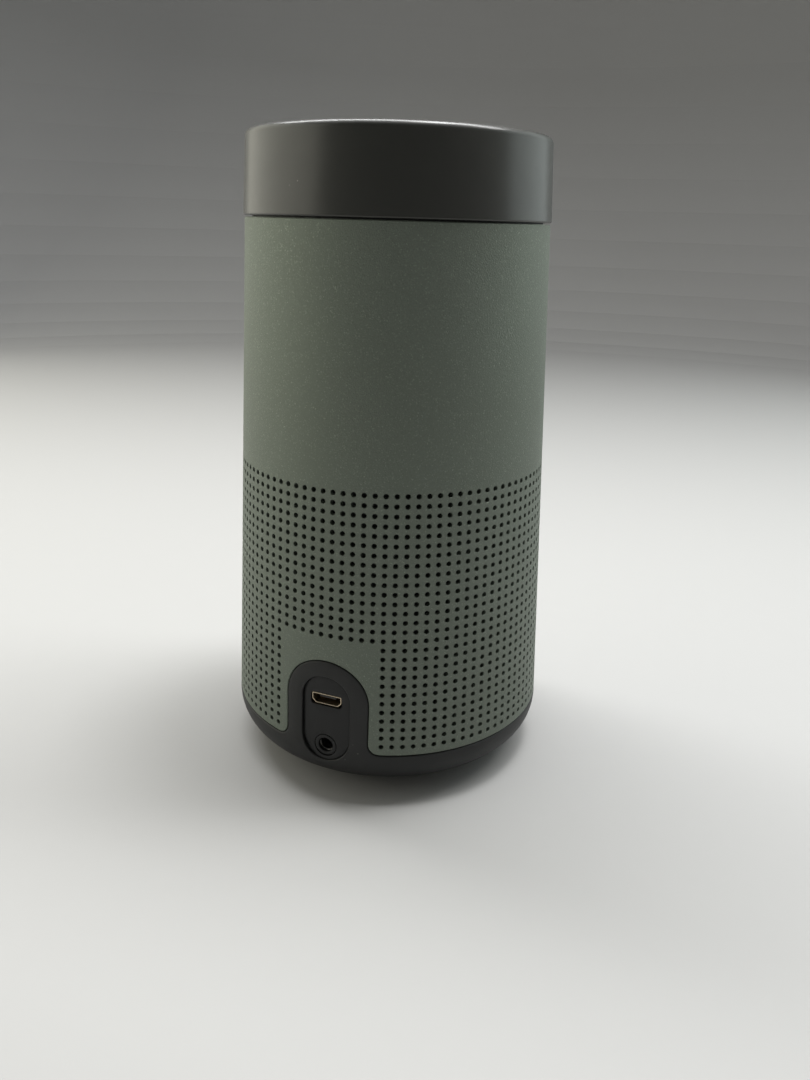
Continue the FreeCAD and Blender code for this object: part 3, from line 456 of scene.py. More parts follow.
def soft_coat_recipe(colour, dust=0.5):
    """Soft-touch rubber: a fine even grain, handling marks and a few specks of dust."""
    def recipe(net):
        fine = net.noise(5200.0, 2.0, 0.6)
        marks = net.noise(45.0, 6.0, 0.62)
        rubbed = net.span(marks, 0.45, 0.72)
        speck = net.span(net.cells(330.0), 0.035, 0.075, 1.0, 0.0)
        speck = speck * net.span(net.noise(95.0, 1.0), 0.56, 0.64) * dust
        body = net.mix(rubbed, shade(colour, 0.9), shade(colour, 1.18))
        return {
            "Base Color": net.mix(speck, body, (0.30, 0.29, 0.26, 1.0)),
            "Roughness": net.span(marks, 0.3, 0.75, 0.56, 0.47) + fine * 0.05,
            "Normal": net.bump(fine + speck * 1.5, 0.00002, 0.8),
        }
    return recipe


def brushed_recipe(colour, along=(1.0, 40.0, 1.0), rough=(0.22, 0.38)):
    """Drawn or turned metal: fine lines one way, with faint stains."""
    def recipe(net):
        lines = net.noise(900.0, 3.0, 0.6, net.place(along))
        stain = net.noise(120.0, 4.0)
        return {
            "Base Color": net.mix(net.span(stain, 0.4, 0.7), shade(colour, 1.0),
                                  shade(colour, 0.8, (1.0, 0.96, 0.9))),
            "Roughness": net.span(lines * 0.6 + stain * 0.4, 0.3, 0.7, *rough),
            "Normal": net.bump(lines, 0.000008, 0.6),
        }
    return recipe


def board_recipe(net):
    """Solder resist over copper tracks."""
    tracks = net.cells(420.0, "DISTANCE_TO_EDGE", net.place((1.0, 1.0, 0.2)), spread=0.35)
    raised = net.span(tracks, 0.06, 0.09, 1.0, 0.0)
    pads = net.span(net.cells(900.0, where=net.place((1.0, 1.0, 0.1)), spread=0.25), 0.12, 0.16, 1.0, 0.0)
    resist = net.mix(raised, (0.012, 0.085, 0.038, 1.0), (0.022, 0.16, 0.066, 1.0))
    return {
        "Base Color": net.mix(pads, resist, (0.62, 0.47, 0.22, 1.0)),
        "Metallic": pads * 0.9,
        "Roughness": 0.36 - pads * 0.06,
        "Normal": net.bump(raised + pads, 0.00004),
    }


def cloth_recipe(colour, threads=1500.0):
    """Plain weave: two sets of threads that pass over and under."""
    def recipe(net):
        warp = net.term("ShaderNodeTexWave", {"bands_direction": "Z"},
                        {"Vector": net.place(), "Scale": threads / 6.0, "Distortion": 1.2, "Detail": 1.0,
                         "Detail Scale": 2.0}, "Fac")
        weft = net.term("ShaderNodeTexWave", {"bands_direction": "X"},
                        {"Vector": net.place((1.0, 1.0, 1.0), (0.0, 0.0, 0.7854)), "Scale": threads / 6.0,
                         "Distortion": 1.2, "Detail": 1.0, "Detail Scale": 2.0}, "Fac")
        weave = warp.math("MAXIMUM", weft)
        fuzz = net.noise(2200.0, 2.0)
        return {
            "Base Color": net.mix(weave, shade(colour, 0.4), shade(colour, 1.5)),
            "Roughness": 0.86 + fuzz * 0.1,
            "Normal": net.bump(weave + fuzz * 0.3, 0.00008),
        }
    return recipe


def wound_recipe(net):
    """Enamelled wire, turn beside turn."""
    turns = net.term("ShaderNodeTexWave", {"bands_direction": "Z", "wave_profile": "SIN"},
                     {"Vector": net.place(), "Scale": 650.0, "Distortion": 0.4, "Detail": 1.0}, "Fac")
    return {
        "Base Color": net.mix(turns, (0.24, 0.075, 0.02, 1.0), (0.72, 0.30, 0.13, 1.0)),
        "Roughness": 0.34 - turns * 0.1,
        "Normal": net.bump(turns, 0.00005),
    }


def paper_recipe(net):
    """Pressed pulp with short fibres."""
    fibres = net.noise(700.0, 5.0, 0.7, net.place((1.0, 1.0, 3.0)))
    return {
        "Base Color": net.mix(net.span(fibres, 0.3, 0.7), (0.018, 0.018, 0.019, 1.0), (0.06, 0.06, 0.058, 1.0)),
        "Roughness": 0.78 + fibres * 0.14,
        "Normal": net.bump(fibres, 0.00006),
    }


def foam_recipe(net):
    """Open-celled foam."""
    open_cells = net.cells(900.0)
    return {
        "Base Color": net.mix(net.span(open_cells, 0.1, 0.6), (0.012, 0.012, 0.013, 1.0), (0.06, 0.06, 0.062, 1.0)),
        "Roughness": 0.9 + open_cells * 0.08,
        "Normal": net.bump(open_cells, 0.0002),
    }


def wrap_recipe(net):
    """Shrink wrap over a cell: a smooth skin with faint rings where it has drawn tight."""
    drawn = net.noise(260.0, 3.0, 0.5, net.place((0.2, 0.2, 1.0)))
    return {
        "Base Color": net.mix(net.span(drawn, 0.3, 0.7), (0.02, 0.13, 0.075, 1.0), (0.035, 0.20, 0.12, 1.0)),
        "Roughness": net.span(drawn, 0.3, 0.7, 0.24, 0.36),
        "Normal": net.bump(drawn, 0.00005),
    }


def clear_recipe(net):
    """Frosted light pipe."""
    frost = net.noise(3000.0, 2.0)
    return {
        "Base Color": net.mix(frost, (0.55, 0.56, 0.55, 1.0), (0.78, 0.79, 0.78, 1.0)),
        "Roughness": 0.28 + frost * 0.25,
        "Normal": net.bump(frost, 0.00001),
    }


def floor_recipe(colour):
    def recipe(net):
        mottle = net.noise(160.0, 5.0, 0.6)
        return {
            "Base Color": net.mix(mottle, shade(colour, 0.985), shade(colour, 1.015)),
            "Roughness": 0.72 + mottle * 0.1,
            "Normal": net.bump(mottle, 0.0001, 0.3),
        }
    return recipe


def make_finishes(settings):
    """Every material, by the record's slot or by its own name."""
    steel = (0.56, 0.55, 0.53)
    made = {
        "anodised_aluminium": finish("anodised_aluminium", anodised_recipe(settings.anodised), metallic=0.7),
        "cap_rubber": finish("cap_rubber", soft_coat_recipe(settings.cap), coat_weight=0.5, coat_roughness=0.27,
                             coat_ior=1.6, specular_ior_level=0.3),
        "button_rubber": finish("button_rubber", soft_coat_recipe(settings.cap, 0.25)),
        "base_rubber": finish("base_rubber", soft_coat_recipe(settings.base, 0.35), specular_ior_level=0.35),
        "panel_plastic": finish("panel_plastic", grained(settings.panel, 4200.0, 0.000015, (0.36, 0.46)),
                                specular_ior_level=0.35),
        "frame_plastic": finish("frame_plastic", grained((0.03, 0.03, 0.031), 2400.0, 0.00003, (0.5, 0.62))),
        "steel": finish("steel", brushed_recipe(steel), metallic=1.0),
        "socket_steel": finish("socket_steel", brushed_recipe((0.60, 0.52, 0.40), rough=(0.24, 0.36)), metallic=1.0),
        "brass": finish("brass", brushed_recipe((0.70, 0.52, 0.26)), metallic=1.0),
        "contact_gold": finish("contact_gold", brushed_recipe((0.85, 0.62, 0.28), rough=(0.18, 0.26)), metallic=1.0),
        "jack_plastic": finish("jack_plastic", grained((0.014, 0.014, 0.015), 3000.0, 0.00002, (0.4, 0.5))),
        "circuit_board": finish("circuit_board", board_recipe),
        "flex_film": finish("flex_film", grained((0.42, 0.19, 0.04), 500.0, 0.00001, (0.24, 0.34), 0.2, 200.0)),
        "ferrite": finish("ferrite", grained((0.045, 0.045, 0.048), 1500.0, 0.00006, (0.55, 0.72), 0.2)),
        "coil_copper": finish("coil_copper", wound_recipe, metallic=1.0),
        "paper_cone": finish("paper_cone", paper_recipe),
        "surround_rubber": finish("surround_rubber", grained((0.02, 0.02, 0.021), 3600.0, 0.00002, (0.42, 0.55))),
        "treated_cloth": finish("treated_cloth", cloth_recipe((0.014, 0.014, 0.015))),
        "radiator_metal": finish("radiator_metal", brushed_recipe((0.12, 0.12, 0.125), (1.0, 1.0, 30.0), (0.3, 0.45)),
                                 metallic=0.9),
        "cell_wrap": finish("cell_wrap", wrap_recipe),
        "foam": finish("foam", foam_recipe),
        "capacitor_sleeve": finish("capacitor_sleeve", grained((0.016, 0.018, 0.05), 1200.0, 0.00001, (0.22, 0.3))),
        "clear_plastic": finish("clear_plastic", clear_recipe, transmission_weight=0.35),
        "icon_print": finish("icon_print", grained(settings.icon, 5200.0, 0.000008, (0.45, 0.6), 0.06)),
    }
    return made


# ---------------------------------------------------------------- mesh helpers
class Shape:
    """Points and faces of one piece, gathered until they are made into a mesh."""

    def __init__(self):
        self.points = []
        self.faces = []

    def add(self, points, faces):
        start = len(self.points)
        self.points += [Vector(point) for point in points]
        self.faces += [tuple(start + i for i in face) for face in faces]

    def loft(self, loops, closed=True):
        """Quads from each loop of points to the next."""
        for first, second in zip(loops, loops[1:]):
            count = len(first)
            steps = range(count if closed else count - 1)
            self.add(list(first) + list(second),
                     [(i, (i + 1) % count, count + (i + 1) % count, count + i) for i in steps])

    def fan(self, loop, centre):
        count = len(loop)
        self.add(list(loop) + [centre], [(i, (i + 1) % count, count) for i in range(count)])

    def patch(self, outline, holes, inside, put):
        """Flat sheet between an outline and its holes, through the inside points; put carries it into place."""
        flat = []
        edges = []
        for loop in [outline] + list(holes):
            start = len(flat)
            flat += [Vector(point) for point in loop]
            edges += [(start + i, start + (i + 1) % len(loop)) for i in range(len(loop))]
        flat += [Vector(point) for point in inside]
        points, _, faces, *_ = delaunay_2d_cdt(flat, edges, [], 0, 1e-9)
        kept = []
        for face in faces:
            middle = sum((points[i] for i in face), Vector((0, 0))) / len(face)
            if within(middle, outline) and not any(within(middle, hole) for hole in holes):
                kept.append(tuple(face))
        self.add([put(*point) for point in points], kept)

    def mesh(self, name, smooth=32.0):
        """Closed mesh with its doubles merged, its faces outward and its hard edges marked."""
        work = bmesh.new()
        points = [work.verts.new(point) for point in self.points]
        for face in self.faces:
            try:
                work.faces.new([points[i] for i in face])
            except ValueError:
                raise RuntimeError(f"{name} has the same face twice")
        bmesh.ops.remove_doubles(work, verts=work.verts, dist=0.0000015)
        bmesh.ops.dissolve_degenerate(work, edges=work.edges, dist=0.0000005)
        loose = [v for v in work.verts if not v.link_faces]
        bmesh.ops.delete(work, geom=loose, context="VERTS")
        bmesh.ops.recalc_face_normals(work, faces=work.faces)
        open_edges = sum(1 for edge in work.edges if len(edge.link_faces) != 2)
        if open_edges:
            raise RuntimeError(f"{name} isn't closed: {open_edges} edges")
        data = bpy.data.meshes.new(name)
        work.to_mesh(data)
        work.free()
        data.polygons.foreach_set("use_smooth", [True] * len(data.polygons))
        data.set_sharp_from_angle(angle=math.radians(smooth))
        return data


def within(point, loop):
    """Whether a flat point is inside a loop."""
    x, y = point
    inside = False
    for (ax, ay), (bx, by) in zip(loop, loop[1:] + loop[:1]):
        if (ay > y) != (by > y) and x < (bx - ax) * (y - ay) / (by - ay) + ax:
            inside = not inside
    return inside


def arc(centre, radius, start, end, steps):
    """Points along an arc, angles in degrees, both ends included."""
    angles = [math.radians(start + (end - start) * i / steps) for i in range(steps + 1)]
    return [(centre[0] + radius * math.cos(a), centre[1] + radius * math.sin(a)) for a in angles]


def circle(radius, segments, centre=(0.0, 0.0)):
    return arc(centre, radius, 0.0, 360.0, segments)[:-1]


def ring(radius, z, segments, centre=(0.0, 0.0)):
    return [(x, y, z) for x, y in circle(radius, segments, centre)]


def rounded(corners, radius, steps=3):
    """Outline with each corner rounded."""
    loop = []
    count = len(corners)
    for i, corner in enumerate(corners):
        here = Vector(corner)
        before = (Vector(corners[i - 1]) - here).normalized()
        after = (Vector(corners[(i + 1) % count]) - here).normalized()
        half = before.angle(after) / 2
        reach_out = min(radius / math.tan(half), (Vector(corners[i - 1]) - here).length / 2.1,
                        (Vector(corners[(i + 1) % count]) - here).length / 2.1)
        for j in range(steps + 1):
            t = j / steps
            start = here + before * reach_out
            end = here + after * reach_out
            loop.append(tuple(start.lerp(here, t).lerp(here.lerp(end, t), t)))
    return loop


def put_in(name, data, material, body, slot, *replaced):
    """Object at the origin that rides on a body and stands for CAD nodes."""
    piece = bpy.data.objects.new(name, data)
    bpy.context.scene.collection.objects.link(piece)
    data.materials.clear()
    data.materials.append(material)
    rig.ride(piece, body)
    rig.slot(piece, slot)
    if replaced:
        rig.replaces(piece, *replaced)
    return piece


def arch(gap, foot, steps=28):
    """Outline (x, z) of the arch from its +X foot to its -X foot, smaller by gap on every side."""
    foot_x = ARCH_HALF + foot
    foot_z = SLEEVE_LOW + foot
    side = ARCH_HALF - gap
    rise = [foot_z + (ARCH_CENTRE - foot_z) * i / 5 for i in range(1, 5)]
    loop = arc((foot_x, foot_z), foot + gap, 270, 180, 7)
    loop += [(side, z) for z in rise]
    loop += arc((0, ARCH_CENTRE), side, 0, 180, steps)
    loop += [(-side, z) for z in reversed(rise)]
    loop += arc((-foot_x, foot_z), foot + gap, 360, 270, 7)
    return loop


def stadium(half, low, high, grow=0.0, steps=20):
    """Closed outline (x, z) with round ends."""
    side = half + grow
    return arc((0, high - half), side, 0, 180, steps) + arc((0, low + half), side, 180, 360, steps)


class Skin:
    """Round surface cut into columns; radius gives its radius at a height and a depth."""

    def __init__(self, columns, radius):
        self.columns = columns
        self.step = 2 * math.pi / columns
        self.radius = radius

    def put(self, share, z, depth=0.0):
        angle = share * self.step - math.pi / 2
        r = self.radius(z, depth)
        return (r * math.cos(angle), r * math.sin(angle), z)

    def share(self, x, z, depth):
        """Column count at which a point of the rear lies."""
        r = self.radius(z, depth)
        return (math.atan2(math.sqrt(r * r - x * x), x) + math.pi / 2) / self.step

    def line(self, outline, depth):
        return [(self.share(x, z, depth), z) for x, z in outline]

    def seam_line(self, side_columns, gap, foot, depth):
        """Lower edge round the whole skin, over the arch at the rear, as (share, z)."""
        middle = self.columns // 2
        z = SLEEVE_LOW - gap
        rest = [(k, z) for k in range(middle + side_columns, middle - side_columns + self.columns + 1)]
        return rest, self.line(arch(gap, foot), depth)

    def seam(self, side_columns, gap, foot, depth):
        rest, rear = self.seam_line(side_columns, gap, foot, depth)
        return [self.put(share, z, depth) for share, z in rest + rear]


# ---------------------------------------------------------------- perforated sleeve
def sleeve_tile(cfg):
    """One cell: x and y are shares of the cell, z is the depth, and the hole's own offsets are an attribute."""
    width = 2 * math.pi * cone_r((SLEEVE_LOW + SLEEVE_HIGH) / 2) / cfg.columns
    radius = cfg.hole / 2
    mouth = circle(radius + cfg.chamfer, 12)

    def at(x, y, depth):
        """A corner keeps its share of the cell; a point of the hole stands at the middle with an offset."""
        if abs(x) > width * 0.45:
            return (math.copysign(0.5, x), math.copysign(0.5, y), depth, 0.0, 0.0)
        return (0.0, 0.0, depth, x, y)

    corners = [(-width / 2, -cfg.pitch / 2), (width / 2, -cfg.pitch / 2), (width / 2, cfg.pitch / 2),
               (-width / 2, cfg.pitch / 2)]
    flat = Shape()
    flat.patch(corners, [mouth], [], lambda x, y: (x, y, 0.0))
    back = circle(radius, 6)
    flat.patch(corners, [back], [], lambda x, y: (x, y, cfg.wall))
    rim = [(x, y, cfg.chamfer) for x, y in circle(radius, 12)]
    flat.loft([[(x, y, 0.0) for x, y in mouth], rim])
    far = [(x, y, cfg.wall) for x, y in back]
    start = len(flat.points)
    flat.add(rim + far, [])
    for i in range(6):
        a, b, c = start + 2 * i, start + 2 * i + 1, start + (2 * i + 2) % 12
        d, e = start + 12 + i, start + 12 + (i + 1) % 6
        flat.faces += [(a, b, d), (b, e, d), (b, c, e)]
    work = bmesh.new()
    points = [work.verts.new(point) for point in flat.points]
    for face in flat.faces:
        work.faces.new([points[i] for i in face])
    bmesh.ops.remove_doubles(work, verts=work.verts, dist=1e-7)
    for face in work.faces:
        if all(abs(v.co.z) < 1e-9 for v in face.verts) and face.normal.z > 0:
            face.normal_flip()
    data = bpy.data.meshes.new("sleeve_tile")
    work.to_mesh(data)
    work.free()
    cells = [at(*v.co) for v in data.vertices]
    offset = data.attributes.new("hole_offset", "FLOAT_VECTOR", "POINT")
    for v, (u, w, depth, x, y) in zip(data.vertices, cells):
        v.co = (u, w, depth)
        offset.data[v.index].vector = (x, y, 0.0)
    return data


def perforation_tree():
    """Repeats the cell over the columns and rows, and lays it on the cone."""
    tree = bpy.data.node_groups.new("perforation", "GeometryNodeTree")
    sockets = tree.interface
    sockets.new_socket("Geometry", in_out="OUTPUT", socket_type="NodeSocketGeometry")
    for name, kind in (("Geometry", "NodeSocketGeometry"), ("Columns", "NodeSocketInt"), ("Rows", "NodeSocketInt"),
                       ("Blank Columns", "NodeSocketInt"), ("Blank Rows", "NodeSocketInt"),
                       ("Row Pitch", "NodeSocketFloat"), ("First Row Z", "NodeSocketFloat"),
                       ("Bottom Z", "NodeSocketFloat"), ("Bottom Radius", "NodeSocketFloat"),
                       ("Taper", "NodeSocketFloat"), ("Material", "NodeSocketMaterial")):
        sockets.new_socket(name, in_out="INPUT", socket_type=kind)
    net = Net(tree)
    entry = tree.nodes.new("NodeGroupInput")

    def given(name):
        return Term(net, entry.outputs[name])

    line = net.term("GeometryNodeMeshLine", {"mode": "OFFSET"},
                    {"Count": given("Columns") * given("Rows"), "Offset": (0.0, 0.0, 0.0)})
    index = net.term("GeometryNodeInputIndex")
    column = index.math("MODULO", given("Columns"))
    row = (index / given("Columns")).math("FLOOR")
    marked = net.term("GeometryNodeStoreNamedAttribute", {"data_type": "FLOAT", "domain": "POINT"},
                      {"Geometry": line, "Name": "column", "Value": column})
    marked = net.term("GeometryNodeStoreNamedAttribute", {"data_type": "FLOAT", "domain": "POINT"},
                      {"Geometry": marked, "Name": "row", "Value": row})
    column_now = net.term("GeometryNodeInputNamedAttribute", {"data_type": "FLOAT"}, {"Name": "column"})
    row_now = net.term("GeometryNodeInputNamedAttribute", {"data_type": "FLOAT"}, {"Name": "row"})
    from_rear = (column_now + 0.5 - given("Columns") / 2).math("ABSOLUTE")
    plain = from_rear.math("LESS_THAN", given("Blank Columns") / 2) * row_now.math("LESS_THAN", given("Blank Rows"))
    kept = net.term("GeometryNodeDeleteGeometry", {"domain": "POINT"}, {"Geometry": marked, "Selection": plain})
    cells = net.term("GeometryNodeInstanceOnPoints", {}, {"Points": kept, "Instance": given("Geometry")})
    cells = net.term("GeometryNodeRealizeInstances", {}, {"Geometry": cells})
    split = net.node("ShaderNodeSeparateXYZ", {}, {0: net.term("GeometryNodeInputPosition")})
    u, v, depth = (Term(net, split.outputs[i]) for i in range(3))
    offset = net.term("GeometryNodeInputNamedAttribute", {"data_type": "FLOAT_VECTOR"}, {"Name": "hole_offset"})
    aside = net.node("ShaderNodeSeparateXYZ", {}, {0: offset})
    across, up = (Term(net, aside.outputs[i]) for i in range(2))
    z = given("First Row Z") + (row_now + v) * given("Row Pitch") + up
    surface = given("Bottom Radius") - (z - given("Bottom Z")) * given("Taper")
    angle = (column_now + 0.5 + u) * (2 * math.pi) / given("Columns") - math.pi / 2 + across / surface
    radius = surface - depth
    put = net.term("ShaderNodeCombineXYZ", {},
                   {0: radius * angle.math("COSINE"), 1: radius * angle.math("SINE"), 2: z})
    laid = net.term("GeometryNodeSetPosition", {}, {"Geometry": cells, "Position": put})
    done = net.term("GeometryNodeSetMaterial", {}, {"Geometry": laid, "Material": given("Material")})
    net.node("NodeGroupOutput", {}, {"Geometry": done})
    return tree


def made_by(kind, name, data, setup):
    """Mesh that a modifier makes from a mesh; setup sets the modifier up."""
    seed = bpy.data.objects.new(name, data)
    bpy.context.scene.collection.objects.link(seed)
    modifier = seed.modifiers.new("made", kind)
    setup(modifier)
    seed.update_tag()
    graph = bpy.context.evaluated_depsgraph_get()
    made = bpy.data.meshes.new_from_object(seed.evaluated_get(graph), preserve_all_data_layers=True, depsgraph=graph)
    seed.modifiers.remove(modifier)
    bpy.data.objects.remove(seed)
    return made


def grown(name, data, tree, values):
    """Plain mesh that a geometry tree makes from a mesh; values are the tree's named inputs."""
    def setup(modifier):
        modifier.node_group = tree
        for socket in tree.interface.items_tree:
            if socket.item_type == "SOCKET" and socket.in_out == "INPUT" and socket.name in values:
                modifier[socket.identifier] = values[socket.name]
    return made_by("NODES", name, data, setup)


def weighted(name, data):
    """Same mesh with its flat faces shaded flat where they meet small ones."""
    return made_by("WEIGHTED_NORMAL", name, data, lambda modifier: setattr(modifier, "keep_sharp", True))


def sleeve_shape(cfg, holes):
    """Whole sleeve: the perforated cells, the plain wall over them, the plain field round the arch and the edges."""
    skin = Skin(cfg.columns, lambda z, depth: cone_r(z) - depth)
    shape = Shape()
    shape.add([v.co.copy() for v in holes.vertices], [tuple(face.vertices) for face in holes.polygons])
    low = SLEEVE_LOW + cfg.first_row - cfg.pitch / 2
    high = low + cfg.rows * cfg.pitch
    whole = range(cfg.columns)
    rows = [high + (SLEEVE_HIGH - cfg.edge - high) * i / 6 for i in range(7)]
    wall = [[skin.put(k, z) for k in whole] for z in rows]
    wall += [[skin.put(k, SLEEVE_HIGH, cfg.edge) for k in whole], [skin.put(k, SLEEVE_HIGH, cfg.wall) for k in whole]]
    wall += [[skin.put(k, z, cfg.wall) for k in whole] for z in (SLEEVE_HIGH - (SLEEVE_HIGH - high) / 2, high)]
    shape.loft(wall)
    middle = cfg.columns // 2
    near = cfg.blank_columns // 2
    side = near + 1
    # lower edge, from the inner wall over the bottom to the outer wall
    steps = [(0.0, cfg.wall), (0.0, cfg.edge), (-cfg.edge, 0.0)]
    shape.loft([skin.seam(side, gap, cfg.arch_foot, depth) for gap, depth in steps])
    outside = range(middle + side, middle - side + cfg.columns + 1)
    shape.loft([[skin.put(k, SLEEVE_LOW + cfg.edge) for k in outside], [skin.put(k, low) for k in outside]], False)
    shape.loft([[skin.put(k, SLEEVE_LOW, cfg.wall) for k in outside], [skin.put(k, low, cfg.wall) for k in outside]],
               False)
    # plain field round the arch
    top = low + cfg.blank_rows * cfg.pitch
    levels = [low + cfg.pitch * i for i in range(cfg.blank_rows + 1)]
    for gap, depth in ((-cfg.edge, 0.0), (0.0, cfg.wall)):
        _, rear = skin.seam_line(side, gap, cfg.arch_foot, depth)
        foot = SLEEVE_LOW - gap
        outline = [(middle - side, foot), (middle - side, low), (middle - near, low)]
        outline += [(middle - near, z) for z in levels[1:]]
        outline += [(k, top) for k in range(middle - near + 1, middle + near + 1)]
        outline += [(middle + near, z) for z in reversed(levels[:-1])]
        outline += [(middle + side, low), (middle + side, foot)]
        outline += list(reversed(rear))
        scaled = [(share * skin.step * SLEEVE_LOW_R, z) for share, z in outline]
        clear = arch(-1.2 * MM, cfg.arch_foot)
        shut = clear + [(-ARCH_HALF, 0.0), (ARCH_HALF, 0.0)]
        inside = []
        for k in range(middle - near + 1, middle + near):
            for z in levels[1:-1]:
                x = skin.put(k, z, depth)[0]
                if not within((x, z), shut):
                    inside.append((k * skin.step * SLEEVE_LOW_R, z))
        shape.patch(scaled, [], inside, lambda s, z: skin.put(s / (skin.step * SLEEVE_LOW_R), z, depth))
    return shape


def even_normals(data, radius_at, slope):
    """Exact normals on the faces that lie on the outer surface, so that it shades as one smooth cone."""
    co = np.zeros(len(data.vertices) * 3)
    data.vertices.foreach_get("co", co)
    co = co.reshape(-1, 3)
    rad = np.hypot(co[:, 0], co[:, 1])
    outer = np.abs(rad - np.array([radius_at(z) for z in co[:, 2]])) < 2e-6
    normal = np.stack([co[:, 0] / rad, co[:, 1] / rad, np.full(len(rad), slope)], 1)
    normal /= np.linalg.norm(normal, axis=1)[:, None]
    loops = np.zeros(len(data.loops), int)
    data.loops.foreach_get("vertex_index", loops)
    start = np.zeros(len(data.polygons), int)
    total = np.zeros(len(data.polygons), int)
    data.polygons.foreach_get("loop_start", start)
    data.polygons.foreach_get("loop_total", total)
    owner = np.repeat(np.arange(len(total)), total)
    flat = np.ones(len(total), bool)
    np.logical_and.at(flat, owner, outer[loops])
    wanted = np.where(flat[owner][:, None], normal[loops], 0.0)
    data.normals_split_custom_set(wanted.tolist())


class SPEAKER_OT_sleeve(bpy.types.Operator):
    """Builds the perforated aluminium sleeve"""
    bl_idname = "speaker.sleeve"
    bl_label = "Sleeve"

    def execute(self, context):
        cfg = context.scene.speaker_sleeve
        taper = (SLEEVE_LOW_R - SLEEVE_HIGH_R) / (SLEEVE_HIGH - SLEEVE_LOW)
        material = bpy.data.materials["anodised_aluminium"]
        holes = grown("sleeve_cells", sleeve_tile(cfg), perforation_tree(), {
            "Columns": cfg.columns, "Rows": cfg.rows, "Blank Columns": cfg.blank_columns,
            "Blank Rows": cfg.blank_rows, "Row Pitch": cfg.pitch, "First Row Z": SLEEVE_LOW + cfg.first_row,
            "Bottom Z": SLEEVE_LOW, "Bottom Radius": SLEEVE_LOW_R, "Taper": taper, "Material": material})
        expected = cfg.columns * cfg.rows - cfg.blank_columns * cfg.blank_rows
        if len(holes.polygons) < expected * 20:
            raise RuntimeError(f"the perforation has only {len(holes.polygons)} faces")
        data = sleeve_shape(cfg, holes).mesh("sleeve", 25.0)
        even_normals(data, cone_r, taper)
        put_in("sleeve", data, material, "housing", "anodised_aluminium", "perforated_sleeve")
        return {"FINISHED"}


